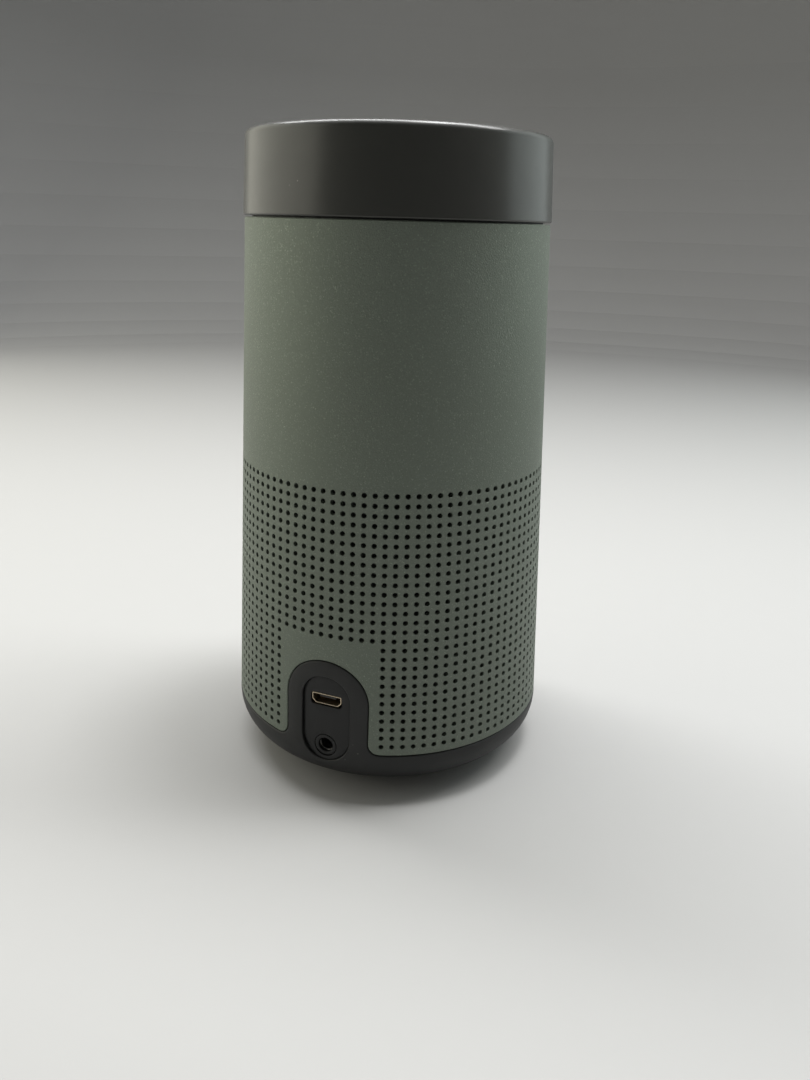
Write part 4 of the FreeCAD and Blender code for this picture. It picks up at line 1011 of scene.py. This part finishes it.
# ---------------------------------------------------------------- rubber base
class SPEAKER_OT_base(bpy.types.Operator):
    """Builds the rubber base with its arch and socket window"""
    bl_idname = "speaker.base"
    bl_label = "Base"

    def execute(self, context):
        cfg = context.scene.speaker_base
        foot = context.scene.speaker_sleeve.arch_foot
        centre_z = BASE_LOW + cfg.lower_round
        centre_r = BASE_R - cfg.lower_round
        blend_low, blend_high = SLEEVE_LOW - 0.7 * MM, SLEEVE_LOW + 1.0 * MM

        def radius(z, depth):
            if z < centre_z:
                return centre_r + math.sqrt((cfg.lower_round - depth) ** 2 - (z - centre_z) ** 2)
            share = min(1.0, max(0.0, (z - blend_low) / (blend_high - blend_low)))
            return BASE_R + (cone_r(z) - BASE_R) * share - depth

        skin = Skin(cfg.columns, radius)
        middle = cfg.columns // 2
        side = 7
        shape = Shape()
        outside = range(middle + side, middle - side + cfg.columns + 1)
        whole = range(cfg.columns)
        bend_z = BASE_LOW + 5.0 * MM
        rows = [bend_z + (centre_z - bend_z) * i / 3 for i in range(4)]
        # round along the upper edge, then the ledge to the inner wall
        top = [(SEAM + cfg.edge * (1 - math.sin(a)), cfg.edge * (1 - math.cos(a)))
               for a in (math.pi / 2 * i / 3 for i in range(4))]
        top += [(SEAM, cfg.wall)]
        shape.loft([skin.seam(side, gap, foot, depth) for gap, depth in top])
        # lower round, from the patch's lower line to the inside
        for depth, closing in ((0.0, top[0]), (cfg.wall, top[-1])):
            edge_z = SLEEVE_LOW - closing[0]
            shape.loft([[skin.put(k, z, depth) for k in outside] for z in rows + [edge_z]], False)
            first = math.degrees(math.asin((bend_z - centre_z) / (cfg.lower_round - depth)))
            lower = arc((centre_r, centre_z), cfg.lower_round - depth, first, -90, 12)
            lower.append((centre_r - 1.7 * MM, lower[-1][1]))
            shape.loft([[(r * math.cos(k * skin.step - math.pi / 2), r * math.sin(k * skin.step - math.pi / 2), z)
                         for k in whole] for r, z in lower])
            window = stadium(PANEL_HALF + 0.1 * MM, PANEL_LOW - 0.1 * MM, PANEL_HIGH + 0.1 * MM,
                             cfg.edge if depth == 0 else 0.0)
            _, rear = skin.seam_line(side, closing[0], foot, depth)
            width = skin.step * BASE_R
            left, right = middle - side, middle + side
            outline = [(left, z) for z in rows + [edge_z]] + rear
            outline += [(right, z) for z in [edge_z] + list(reversed(rows))]
            outline += [(k, bend_z) for k in range(right - 1, left, -1)]
            outline = [(share * width, z) for share, z in outline]
            opening = [(share * width, z) for share, z in skin.line(window, depth)]
            guard = stadium(PANEL_HALF, PANEL_LOW, PANEL_HIGH, 0.9 * MM)
            arch_guard = arch(closing[0] + 0.8 * MM, foot) + [(-ARCH_HALF - foot, 0.0), (ARCH_HALF + foot, 0.0)]
            inside = []
            for k in range(left + 1, right):
                for i in range(1, 22):
                    z = bend_z + 1.4 * MM * i
                    x = skin.put(k, z, depth)[0]
                    if not within((x, z), guard) and (within((x, z), arch_guard) and z > SLEEVE_LOW or
                                                      z < SLEEVE_LOW - closing[0] - 0.8 * MM):
                        inside.append((k * width, z))
            shape.patch(outline, [opening], inside, lambda s, z: skin.put(s / width, z, depth))
        ends = [[(r * math.cos(k * skin.step - math.pi / 2), r * math.sin(k * skin.step - math.pi / 2), z)
                 for k in whole]
                 for r, z in ((centre_r - 1.7 * MM, BASE_LOW), (centre_r - 1.7 * MM, BASE_LOW + cfg.wall))]
        shape.loft(ends)
        # wall of the socket window
        loops = []
        for grow, depth in [(cfg.edge * (1 - math.sin(a)), cfg.edge * (1 - math.cos(a)))
                            for a in (math.pi / 2 * i / 3 for i in range(4))] + [(0.0, cfg.wall)]:
            window = stadium(PANEL_HALF + 0.1 * MM, PANEL_LOW - 0.1 * MM, PANEL_HIGH + 0.1 * MM, grow)
            loops.append([skin.put(share, z, depth) for share, z in skin.line(window, depth)])
        shape.loft(loops)
        put_in("base", shape.mesh("base"), bpy.data.materials["base_rubber"], "housing", "base_rubber", "rubber_base")
        return {"FINISHED"}


# ---------------------------------------------------------------- sockets
def along_y(loop, y):
    return [(x, y, z) for x, z in loop]


def usb_loop(inset):
    """Section of the charging socket: wide at the top, chamfered at the bottom corners."""
    low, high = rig.box("usb_socket")
    half = high.x - inset
    top = high.z - inset
    bottom = low.z + inset
    chamfer = 0.9 * MM - inset * 0.4
    corners = [(half, top), (-half, top), (-half, bottom + chamfer), (-half + chamfer, bottom),
               (half - chamfer, bottom), (half, bottom + chamfer)]
    return rounded(corners, max(0.32 * MM - inset * 0.5, 0.05 * MM))


class SPEAKER_OT_sockets(bpy.types.Operator):
    """Builds the socket panel, the charging socket with its contacts and the audio socket's bush"""
    bl_idname = "speaker.sockets"
    bl_label = "Sockets"

    def execute(self, context):
        cfg = context.scene.speaker_sockets
        skin = Skin(100, lambda z, depth: cone_r(z) - depth)
        usb_low, usb_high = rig.box("usb_socket")
        jack_low, jack_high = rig.box("aux_jack_bush")
        jack_z = (jack_low.z + jack_high.z) / 2
        jack_r = (jack_high.z - jack_low.z) / 2
        gap = cfg.slot_gap
        corners = [(usb_high.x + gap, usb_high.z + gap), (usb_low.x - gap, usb_high.z + gap),
                   (usb_low.x - gap, usb_low.z - gap), (usb_high.x + gap, usb_low.z - gap)]

        def slot(grow):
            signs = ((1, 1), (-1, 1), (-1, -1), (1, -1))
            grown_corners = [(x + grow * a, z + grow * b) for (x, z), (a, b) in zip(corners, signs)]
            return rounded(grown_corners, 0.95 * MM + grow, 5)

        def hole(grow):
            return circle(jack_r + 0.1 * MM + grow, 32, (0.0, jack_z))

        def rim(grow):
            return stadium(PANEL_HALF, PANEL_LOW, PANEL_HIGH, -grow)

        edge = cfg.panel_edge
        turns = [(edge * (1 - math.sin(a)), edge * (1 - math.cos(a))) for a in (math.pi / 4 * i for i in range(3))]
        turns.append((0.0, cfg.panel_wall))
        shape = Shape()
        for outline in (rim, slot, hole):
            shape.loft([[skin.put(share, z, cfg.panel_recess + depth)
                         for share, z in skin.line(outline(grow), cfg.panel_recess + depth)]
                        for grow, depth in turns])
        width = skin.step * SLEEVE_LOW_R
        for grow, depth in (turns[0], turns[-1]):
            deep = cfg.panel_recess + depth
            flat = [[(share * width, z) for share, z in skin.line(outline(grow), deep)]
                    for outline in (rim, slot, hole)]
            guards = [rim(grow + 0.5 * MM), slot(grow + 0.5 * MM), hole(grow + 0.5 * MM)]
            inside = []
            for i in range(-4, 5):
                for j in range(0, 20):
                    x, z = i * 1.3 * MM, PANEL_LOW + 1.15 * MM * j
                    if within((x, z), guards[0]) and not within((x, z), guards[1]) and not within((x, z), guards[2]):
                        inside.append((skin.share(x, z, deep) * width, z))
            shape.patch(flat[0], flat[1:], inside, lambda s, z: skin.put(s / width, z, deep))
        put_in("socket_panel", shape.mesh("socket_panel"), bpy.data.materials["panel_plastic"], "housing",
               "panel_plastic", "port_panel")

        front, back = usb_high.y, usb_low.y
        flare = -0.1 * MM
        wall = cfg.shell_wall
        shell = Shape()
        loops = [along_y(usb_loop(0.0), back), along_y(usb_loop(0.0), front - 0.9 * MM),
                 along_y(usb_loop(flare), front - 0.12 * MM), along_y(usb_loop(flare + 0.05 * MM), front - 0.03 * MM),
                 along_y(usb_loop(flare + 0.13 * MM), front),
                 along_y(usb_loop(flare + wall - 0.06 * MM), front - 0.02 * MM),
                 along_y(usb_loop(wall), front - 0.8 * MM), along_y(usb_loop(wall), back + 0.5 * MM)]
        shell.loft(loops)
        middle_z = (usb_low.z + usb_high.z) / 2
        shell.fan(loops[0], (0.0, back, middle_z))
        shell.fan(loops[-1], (0.0, back + 0.5 * MM, middle_z))
        put_in("charging_shell", shell.mesh("charging_shell"), bpy.data.materials["socket_steel"], "housing", "steel",
               "usb_socket")

        low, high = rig.box("usb_tongue")
        body = Shape()

        def tongue_loop(inset, y):
            section = [(high.x - inset, high.z - inset), (low.x + inset, high.z - inset),
                       (low.x + inset, low.z + inset), (high.x - inset, low.z + inset)]
            return along_y(rounded(section, 0.1 * MM, 2), y)

        loops = [tongue_loop(0.0, low.y), tongue_loop(0.0, high.y - 0.15 * MM), tongue_loop(0.1 * MM, high.y)]
        body.loft(loops)
        middle_z = (low.z + high.z) / 2
        body.fan(loops[0], (0.0, low.y, middle_z))
        body.fan(loops[-1], (0.0, high.y, middle_z))
        put_in("charging_tongue", body.mesh("charging_tongue"), bpy.data.materials["jack_plastic"], "housing",
               "jack_plastic", "usb_tongue")

        pin = Shape()
        section = rounded([(0.16 * MM, 0.0), (-0.16 * MM, 0.0), (-0.16 * MM, -0.1 * MM), (0.16 * MM, -0.1 * MM)],
                          0.03 * MM, 2)
        blade = [along_y(section, low.y), along_y(section, high.y - 0.5 * MM),
                 along_y([(x, z * 0.3) for x, z in section], high.y - 0.25 * MM)]
        pin.loft(blade)
        pin.fan(blade[0], (0.0, low.y, -0.05 * MM))
        pin.fan(blade[-1], (0.0, high.y - 0.25 * MM, -0.015 * MM))
        pins = grown("pins", pin.mesh("pin"), row_tree(), {
            "Count": cfg.pin_count, "Pitch": cfg.pin_pitch, "Height": low.z + 0.01 * MM,
            "Material": bpy.data.materials["contact_gold"]})
        pins.name = "charging_pins"
        put_in("charging_pins", pins, bpy.data.materials["contact_gold"], "housing", "brass")

        bore = 1.8 * MM
        lip = jack_high.y - 1.0 * MM
        collar = [(jack_r, lip), (jack_r, jack_high.y - 0.2 * MM), (jack_r - 0.06 * MM, jack_high.y - 0.06 * MM),
                  (jack_r - 0.2 * MM, jack_high.y), (bore + 0.3 * MM, jack_high.y),
                  (bore + 0.1 * MM, jack_high.y - 0.1 * MM),
                  (bore, jack_high.y - 0.35 * MM), (bore, lip)]
        liner = [(jack_r, jack_low.y), (jack_r, lip), (bore + 0.08 * MM, lip), (bore, lip - 0.08 * MM),
                 (bore, jack_low.y)]
        for name, steps, material in (("audio_collar", collar, "panel_plastic"), ("audio_liner", liner, "steel")):
            tube = Shape()
            tube.loft([along_y(circle(r, 48, (0.0, jack_z)), y) for r, y in steps + steps[:1]])
            put_in(name, tube.mesh(name), bpy.data.materials[material], "housing", material, "aux_jack_bush")
        return {"FINISHED"}


def row_tree():
    """Repeats a mesh in a row along X, centred on the middle plane."""
    tree = bpy.data.node_groups.new("row", "GeometryNodeTree")
    tree.interface.new_socket("Geometry", in_out="OUTPUT", socket_type="NodeSocketGeometry")
    for name, kind in (("Geometry", "NodeSocketGeometry"), ("Count", "NodeSocketInt"), ("Pitch", "NodeSocketFloat"),
                       ("Height", "NodeSocketFloat"), ("Material", "NodeSocketMaterial")):
        tree.interface.new_socket(name, in_out="INPUT", socket_type=kind)
    net = Net(tree)
    entry = tree.nodes.new("NodeGroupInput")
    count, pitch, height = (Term(net, entry.outputs[name]) for name in ("Count", "Pitch", "Height"))
    first = net.term("ShaderNodeCombineXYZ", {}, {0: (count - 1.0) * pitch * -0.5, 2: height})
    along = net.term("ShaderNodeCombineXYZ", {}, {0: pitch})
    line = net.term("GeometryNodeMeshLine", {"mode": "OFFSET"},
                    {"Count": count, "Start Location": first, "Offset": along})
    made = net.term("GeometryNodeInstanceOnPoints", {},
                    {"Points": line, "Instance": Term(net, entry.outputs["Geometry"])})
    made = net.term("GeometryNodeRealizeInstances", {}, {"Geometry": made})
    made = net.term("GeometryNodeSetMaterial", {},
                    {"Geometry": made, "Material": Term(net, entry.outputs["Material"])})
    net.node("NodeGroupOutput", {}, {"Geometry": made})
    return tree


# ---------------------------------------------------------------- cap
def key_place(name):
    """Centre and radius of a key's top."""
    low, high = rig.box(name + "_button")
    flange = bpy.context.scene.speaker_keys.flange
    return ((low.x + high.x) / 2, (low.y + high.y) / 2), (high.x - low.x) / 2 - flange


def pipe_places():
    """Centres of the light pipes."""
    points = [v.co.xy for v in NODES["light_pipes"].data.vertices]
    found = []
    for point in points:
        if not any((point - c).length < 2 * MM for c in found):
            near = [other for other in points if (other - point).length < 1.5 * MM]
            found.append((Vector((min(p.x for p in near), min(p.y for p in near))) +
                          Vector((max(p.x for p in near), max(p.y for p in near)))) / 2)
    return found


class SPEAKER_OT_cap(bpy.types.Operator):
    """Builds the cap: band, rim and dished panel with the openings for the keys"""
    bl_idname = "speaker.cap"
    bl_label = "Cap"

    def execute(self, context):
        cfg = context.scene.speaker_cap
        n = cfg.segments
        bore = CAP_LOW_R - cfg.wall
        foot = (CAP_LOW_R - cfg.foot_round, CAP_LOW + cfg.foot_round)
        rim_z = CAP_HIGH - cfg.rim_round
        rim_r = CAP_LOW_R - cfg.slope * (rim_z - CAP_LOW)
        panel_z = CAP_HIGH - cfg.dish_depth
        under_z = panel_z - cfg.panel_wall
        profile = [(bore, CAP_LOW)] + arc(foot, cfg.foot_round, 270, 360, 4)
        profile += [(CAP_LOW_R + (rim_r - CAP_LOW_R) * i / 4, foot[1] + (rim_z - foot[1]) * i / 4)
                    for i in range(1, 4)]
        profile += arc((rim_r - cfg.rim_round, rim_z), cfg.rim_round, 0, 118, 10)
        crest = profile[-1]
        for t in (0.25, 0.5, 0.75, 0.88, 0.95, 1.0):
            r = crest[0] + (cfg.dish_radius - crest[0]) * t
            ease = t if t < 0.75 else 0.75 + (t - 0.75) * (2.0 - (t - 0.75) * 4.0)
            profile.append((r, crest[1] + (panel_z - crest[1]) * min(1.0, ease)))
        shape = Shape()
        shape.loft([ring(r, z, n) for r, z in profile])
        holes = [(key_place(name)[0], key_place(name)[1] + cfg.key_gap, 48) for name in KEYS]
        holes += [(tuple(spot), 0.65 * MM, 16) for spot in pipe_places()]
        lip = 0.22 * MM
        top = [circle(radius + lip, count, centre) for centre, radius, count in holes]
        bottom = [circle(radius, count, centre) for centre, radius, count in holes]
        shape.patch(circle(cfg.dish_radius, n), top, [], lambda x, y: (x, y, panel_z))
        shape.patch(circle(bore, n), bottom, [], lambda x, y: (x, y, under_z))
        for centre, radius, count in holes:
            shape.loft([ring(radius + lip, panel_z, count, centre),
                        ring(radius + lip * 0.3, panel_z - lip * 0.3, count, centre),
                        ring(radius, panel_z - lip, count, centre), ring(radius, under_z, count, centre)])
        shape.loft([ring(bore, under_z, n), ring(bore, CAP_LOW, n)])
        put_in("cap", weighted("cap", shape.mesh("cap")), bpy.data.materials["cap_rubber"], "housing", "cap_rubber",
               "top_cap")
        return {"FINISHED"}


# ---------------------------------------------------------------- keys
def stroke(points, width):
    """Flat band with round ends along a line of points."""
    half = width / 2
    left, right = [], []
    for i, point in enumerate(points):
        before = Vector(points[max(0, i - 1)])
        after = Vector(points[min(len(points) - 1, i + 1)])
        ahead = (after - before).normalized()
        across = Vector((-ahead.y, ahead.x)) * half
        left.append(tuple(Vector(point) + across))
        right.append(tuple(Vector(point) - across))

    def end(centre, start_angle):
        return arc(centre, half, start_angle, start_angle + 180, 6)[1:-1]

    first = (Vector(points[1]) - Vector(points[0]))
    last = (Vector(points[-1]) - Vector(points[-2]))
    head = math.degrees(math.atan2(last.y, last.x))
    tail = math.degrees(math.atan2(first.y, first.x))
    return right + end(points[-1], head - 90) + list(reversed(left)) + end(points[0], tail + 90), []


def icon(name, size, width):
    """Outlines, each with its holes, of one generic symbol about a key's middle."""
    if name == "power":
        return [stroke(arc((0, 0), size, 125, 415, 28), width), stroke([(0, size * 0.25), (0, size * 1.15)], width)]
    if name == "pairing":
        waves = [stroke(arc((-size * 0.75, 0), size * k, -42, 42, 10), width) for k in (0.75, 1.25, 1.75)]
        return waves + [(circle(width * 0.75, 16, (-size * 0.75, 0)), [])]
    if name == "source":
        box = [(size * 0.2, size), (size, size), (size, -size), (size * 0.2, -size)]
        return [stroke(box, width), stroke([(-size, 0), (size * 0.4 - width * 1.4, 0)], width),
                stroke([(-size * 0.05, size * 0.42), (size * 0.4, 0), (-size * 0.05, -size * 0.42)], width)]
    if name == "multifunction":
        return [(circle(width * 0.85, 20, (size * k, 0)), []) for k in (-0.9, 0.0, 0.9)]
    bars = [stroke([(-size, 0), (size, 0)], width)]
    if name == "volume_up":
        half = width / 2
        plus = [(size, -half), (size, half), (half, half), (half, size), (-half, size), (-half, half), (-size, half),
                (-size, -half), (-half, -half), (-half, -size), (half, -size), (half, -half)]
        bars = [(rounded(plus, width * 0.2, 2), [])]
    return bars


class SPEAKER_OT_keys(bpy.types.Operator):
    """Builds the six keys with their raised icons"""
    bl_idname = "speaker.keys"
    bl_label = "Keys"

    def execute(self, context):
        cfg = context.scene.speaker_keys
        under_z = CAP_HIGH - context.scene.speaker_cap.dish_depth - context.scene.speaker_cap.panel_wall
        for name in KEYS:
            (x, y), radius = key_place(name)
            low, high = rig.box(name + "_button")
            top = high.z
            flange = under_z - 0.2 * MM
            profile = [(1.1 * MM, low.z), (1.1 * MM, flange - 0.65 * MM), (radius + cfg.flange, flange - 0.65 * MM),
                       (radius + cfg.flange, flange), (radius, flange)]
            profile += arc((radius - cfg.edge, top - cfg.edge), cfg.edge, 0, 90, 5)
            for share in (0.8, 0.55, 0.3):
                profile.append((radius * share, top - cfg.dish * (1 - share ** 2)))
            shape = Shape()
            loops = [ring(r, z, cfg.segments, (x, y)) for r, z in profile]
            shape.loft(loops)
            shape.fan(loops[0], (x, y, low.z))
            shape.fan(loops[-1], (x, y, top - cfg.dish))
            put_in(name + "_cap", shape.mesh(name + "_cap"), bpy.data.materials["button_rubber"], name + "_key",
                   "button_rubber", name + "_button")
            mark = Shape()
            base = top - cfg.dish - 0.05 * MM
            for outline, holes in icon(name, radius * 0.42, cfg.icon_stroke):
                shifted = [(px + x, py + y) for px, py in outline]
                openings = [[(px + x, py + y) for px, py in hole] for hole in holes]
                for z in (base, top - cfg.dish * 0.6 + cfg.icon_height):
                    mark.patch(shifted, openings, [], lambda px, py: (px, py, z))
                for loop in [shifted] + openings:
                    mark.loft([[(px, py, base) for px, py in loop],
                               [(px, py, top - cfg.dish * 0.6 + cfg.icon_height) for px, py in loop]])
            put_in(name + "_icon", mark.mesh(name + "_icon"), bpy.data.materials["icon_print"], name + "_key",
                   "button_rubber")
        return {"FINISHED"}


# ---------------------------------------------------------------- CAD parts that keep their shape
class SPEAKER_OT_finishes(bpy.types.Operator):
    """Makes the materials and gives every CAD part that of its slot"""
    bl_idname = "speaker.finishes"
    bl_label = "Finishes"

    def execute(self, context):
        made = make_finishes(context.scene.speaker_finish)
        for part in frame["record"]["subparts"]:
            slots = NODES[part["node"]].data.materials
            slots.clear()
            slots.append(made[part["material_slot"]])
        return {"FINISHED"}


# ---------------------------------------------------------------- stage
def sheet(line, low, high, steps, thick):
    """Closed section (radius, height) of a sheet whose underside follows line(share of the way out)."""
    under = [(low + (high - low) * i / steps, line(i / steps)) for i in range(steps + 1)]
    return under + [(r, h + thick) for r, h in reversed(under)]


def roll(inner, crest, outer):
    """Curve through three heights, as a share of the way out."""
    def line(t):
        return inner * (2 * t - 1) * (t - 1) + crest * 4 * t * (1 - t) + outer * t * (2 * t - 1)
    return line


def flexing_ring(node, section, sectors, lay, body, slot):
    """Ring of wedges; each bends along its own middle line, so that they stay joined as the moving body travels."""
    inner, outer = min(r for r, _ in section), max(r for r, _ in section)
    half = math.pi / sectors
    for k in range(sectors):
        middle = 2 * half * k
        loops = [[lay(r, middle + half * i / 4, h) for r, h in section] for i in range(-4, 5)]
        shape = Shape()
        shape.loft(loops)
        for loop in (loops[0], loops[-1]):
            shape.add(loop, [tuple(range(len(loop)))])
        data = shape.mesh(f"{node}_{k + 1}")
        piece = bpy.data.objects.new(data.name, data)
        bpy.context.scene.collection.objects.link(piece)
        data.materials.append(bpy.data.materials[slot])
        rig.blend(piece, "housing", body, lay(outer * math.cos(half), middle, 0.0), lay(inner, middle, 0.0))
        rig.slot(piece, slot)
        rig.replaces(piece, node)


class SPEAKER_OT_suspension(bpy.types.Operator):
    """Builds the rings that flex: the driver's spider and surround, and the radiators' surrounds"""
    bl_idname = "speaker.suspension"
    bl_label = "Suspension"

    def execute(self, context):
        cfg = context.scene.speaker_suspension

        def upright(r, angle, h):
            return (r * math.cos(angle), r * math.sin(angle), h)

        low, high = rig.box("driver_spider")
        middle = (low.z + high.z) / 2 - cfg.cloth / 2
        line = lambda t: middle + cfg.ripple * math.sin(8 * math.pi * t) * min(1.0, 8 * t, 8 * (1 - t))
        flexing_ring("driver_spider", sheet(line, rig.box("voice_coil")[1].x, high.x, 48, cfg.cloth),
                     cfg.sectors, upright, "driver_diaphragm", "treated_cloth")
        low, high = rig.box("driver_surround")
        line = roll(high.z - cfg.rubber - 0.1 * MM, low.z, low.z + 0.3 * MM)
        flexing_ring("driver_surround", sheet(line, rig.box("driver_cone")[1].x, high.x, 10, cfg.rubber),
                     cfg.sectors, upright, "driver_diaphragm", "surround_rubber")
        for side, name in ((1, "right"), (-1, "left")):
            low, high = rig.box("radiator_surround_" + name)
            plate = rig.box("radiator_plate_" + name)
            centre = (low.z + high.z) / 2
            near = low.x if side > 0 else -high.x
            far = high.x if side > 0 else -low.x
            line = roll(near, far - cfg.rubber, near)
            flexing_ring("radiator_surround_" + name, sheet(line, plate[1].y, high.y, 14, cfg.rubber), cfg.sectors,
                         lambda r, angle, h: (side * h, r * math.sin(angle), centre + r * math.cos(angle)),
                         name + "_radiator", "surround_rubber")
        return {"FINISHED"}


def soft_box(name, spot, target, size, power, colour=(1.0, 1.0, 1.0)):
    light = bpy.data.lights.new(name, "AREA")
    light.shape = "RECTANGLE"
    light.size, light.size_y = size
    light.energy = power
    light.color = colour
    lamp = bpy.data.objects.new(name, light)
    lamp.visible_camera = False
    lamp.location = spot
    lamp.rotation_mode = "QUATERNION"
    lamp.rotation_quaternion = (Vector(target) - Vector(spot)).to_track_quat("-Z", "Y")
    bpy.context.scene.collection.objects.link(lamp)
    return lamp


class SPEAKER_OT_stage(bpy.types.Operator):
    """Builds the floor, the soft lights and the camera"""
    bl_idname = "speaker.stage"
    bl_label = "Stage"

    def execute(self, context):
        cfg = context.scene.speaker_stage
        floor = Shape()
        bend = [(0.8 + 0.4 * math.sin(t * math.pi / 24), 0.4 - 0.4 * math.cos(t * math.pi / 24)) for t in range(13)]
        loops = [ring(r, z, 96) for r, z in [(0.2, 0.0)] + bend + [(1.2, 1.5)]]
        floor.loft(loops)
        floor.fan(loops[0], (0.0, 0.0, 0.0))
        data = bpy.data.meshes.new("floor")
        data.from_pydata(floor.points, [], floor.faces)
        for polygon in data.polygons:
            if polygon.normal.z < 0 or polygon.normal.dot(polygon.center) > 0.01:
                polygon.flip()
            polygon.use_smooth = True
        data.materials.append(finish("floor", floor_recipe(cfg.floor)))
        piece = bpy.data.objects.new("floor", data)
        context.scene.collection.objects.link(piece)
        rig.stage(piece)

        world = bpy.data.worlds.new("surround")
        world.use_nodes = True
        world.node_tree.nodes["Background"].inputs["Color"].default_value = tuple(cfg.surround) + (1.0,)
        world.node_tree.nodes["Background"].inputs["Strength"].default_value = 0.6
        context.scene.world = world

        def beside(degrees, distance, height):
            """Place round the speaker: 0 is at the camera, positive to its right."""
            angle = cfg.azimuth + math.radians(degrees)
            return (distance * math.cos(angle), distance * math.sin(angle), height)

        middle = (0.0, 0.0, 0.08)
        soft_box("left_box", beside(-100, 0.55, 0.26), middle, (1.0, 0.5), cfg.side, (1.0, 0.98, 0.84))
        soft_box("right_box", beside(110, 0.6, 0.30), middle, (0.6, 0.45), cfg.side * 0.45, (0.90, 1.0, 0.98))
        soft_box("rim_box", beside(165, 0.13, 0.6), (0.0, 0.0, 0.1), (1.0, 0.12), cfg.key * 1.2)
        soft_box("over_box", beside(95, 0.16, 0.85), middle, (0.16, 0.16), cfg.key * 0.45)
        context.scene.view_settings.view_transform = "Standard"

        camera = bpy.data.cameras.new("camera")
        camera.lens = cfg.lens
        camera.sensor_width = 36.0
        camera.clip_start = 0.01
        camera.clip_end = 20.0
        eye = bpy.data.objects.new("camera", camera)
        cy, sy, cp, sp = math.cos(cfg.yaw), math.sin(cfg.yaw), math.cos(cfg.pitch), math.sin(cfg.pitch)
        ahead = Vector((sy * cp, cy * cp, -sp))
        right = Vector((cy, -sy, 0.0))
        up = right.cross(ahead)
        rolled_right = right * math.cos(cfg.roll) + up * math.sin(cfg.roll)
        rolled_up = up * math.cos(cfg.roll) - right * math.sin(cfg.roll)
        facing = Matrix((rolled_right, rolled_up, -ahead)).transposed().to_4x4()
        stand = Matrix.Translation((0.0, -cfg.distance, cfg.height))
        eye.matrix_world = Matrix.Rotation(cfg.azimuth + math.pi / 2, 4, "Z") @ stand @ facing
        context.scene.collection.objects.link(eye)
        context.scene.camera = eye
        return {"FINISHED"}


class SPEAKER_PT_panel(bpy.types.Panel):
    """Lists the speaker's pieces"""
    bl_idname = "SPEAKER_PT_panel"
    bl_label = "Speaker"
    bl_space_type = "VIEW_3D"
    bl_region_type = "UI"
    bl_category = "Speaker"

    def draw(self, context):
        for operator in OPERATORS:
            self.layout.operator(operator.bl_idname)
        for name in SETTINGS:
            settings = getattr(context.scene, name)
            box = self.layout.box()
            for key in settings.__annotations__:
                box.prop(settings, key)


SETTINGS = {
    "speaker_sleeve": SleeveSettings,
    "speaker_base": BaseSettings,
    "speaker_sockets": SocketSettings,
    "speaker_cap": CapSettings,
    "speaker_keys": KeySettings,
    "speaker_suspension": SuspensionSettings,
    "speaker_finish": FinishSettings,
    "speaker_stage": StageSettings,
}
OPERATORS = (SPEAKER_OT_finishes, SPEAKER_OT_sleeve, SPEAKER_OT_base, SPEAKER_OT_sockets, SPEAKER_OT_cap,
             SPEAKER_OT_keys, SPEAKER_OT_suspension, SPEAKER_OT_stage)


def register():
    for name, group in SETTINGS.items():
        bpy.utils.register_class(group)
        setattr(bpy.types.Scene, name, PointerProperty(type=group))
    for group in OPERATORS + (SPEAKER_PT_panel,):
        bpy.utils.register_class(group)


def unregister():
    for group in (SPEAKER_PT_panel,) + OPERATORS:
        bpy.utils.unregister_class(group)
    for name, group in SETTINGS.items():
        delattr(bpy.types.Scene, name)
        bpy.utils.unregister_class(group)


def main():
    register()
    for operator in OPERATORS:
        group, name = operator.bl_idname.split(".")
        getattr(getattr(bpy.ops, group), name)()
    bpy.context.view_layer.update()
    sizes = {"cad": CAD_BOX, "visual": [list(corner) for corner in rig.bounds()]}
    with open("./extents.json", "w") as out:
        json.dump(sizes, out, indent=1)


if __name__ == "__main__":
    main()
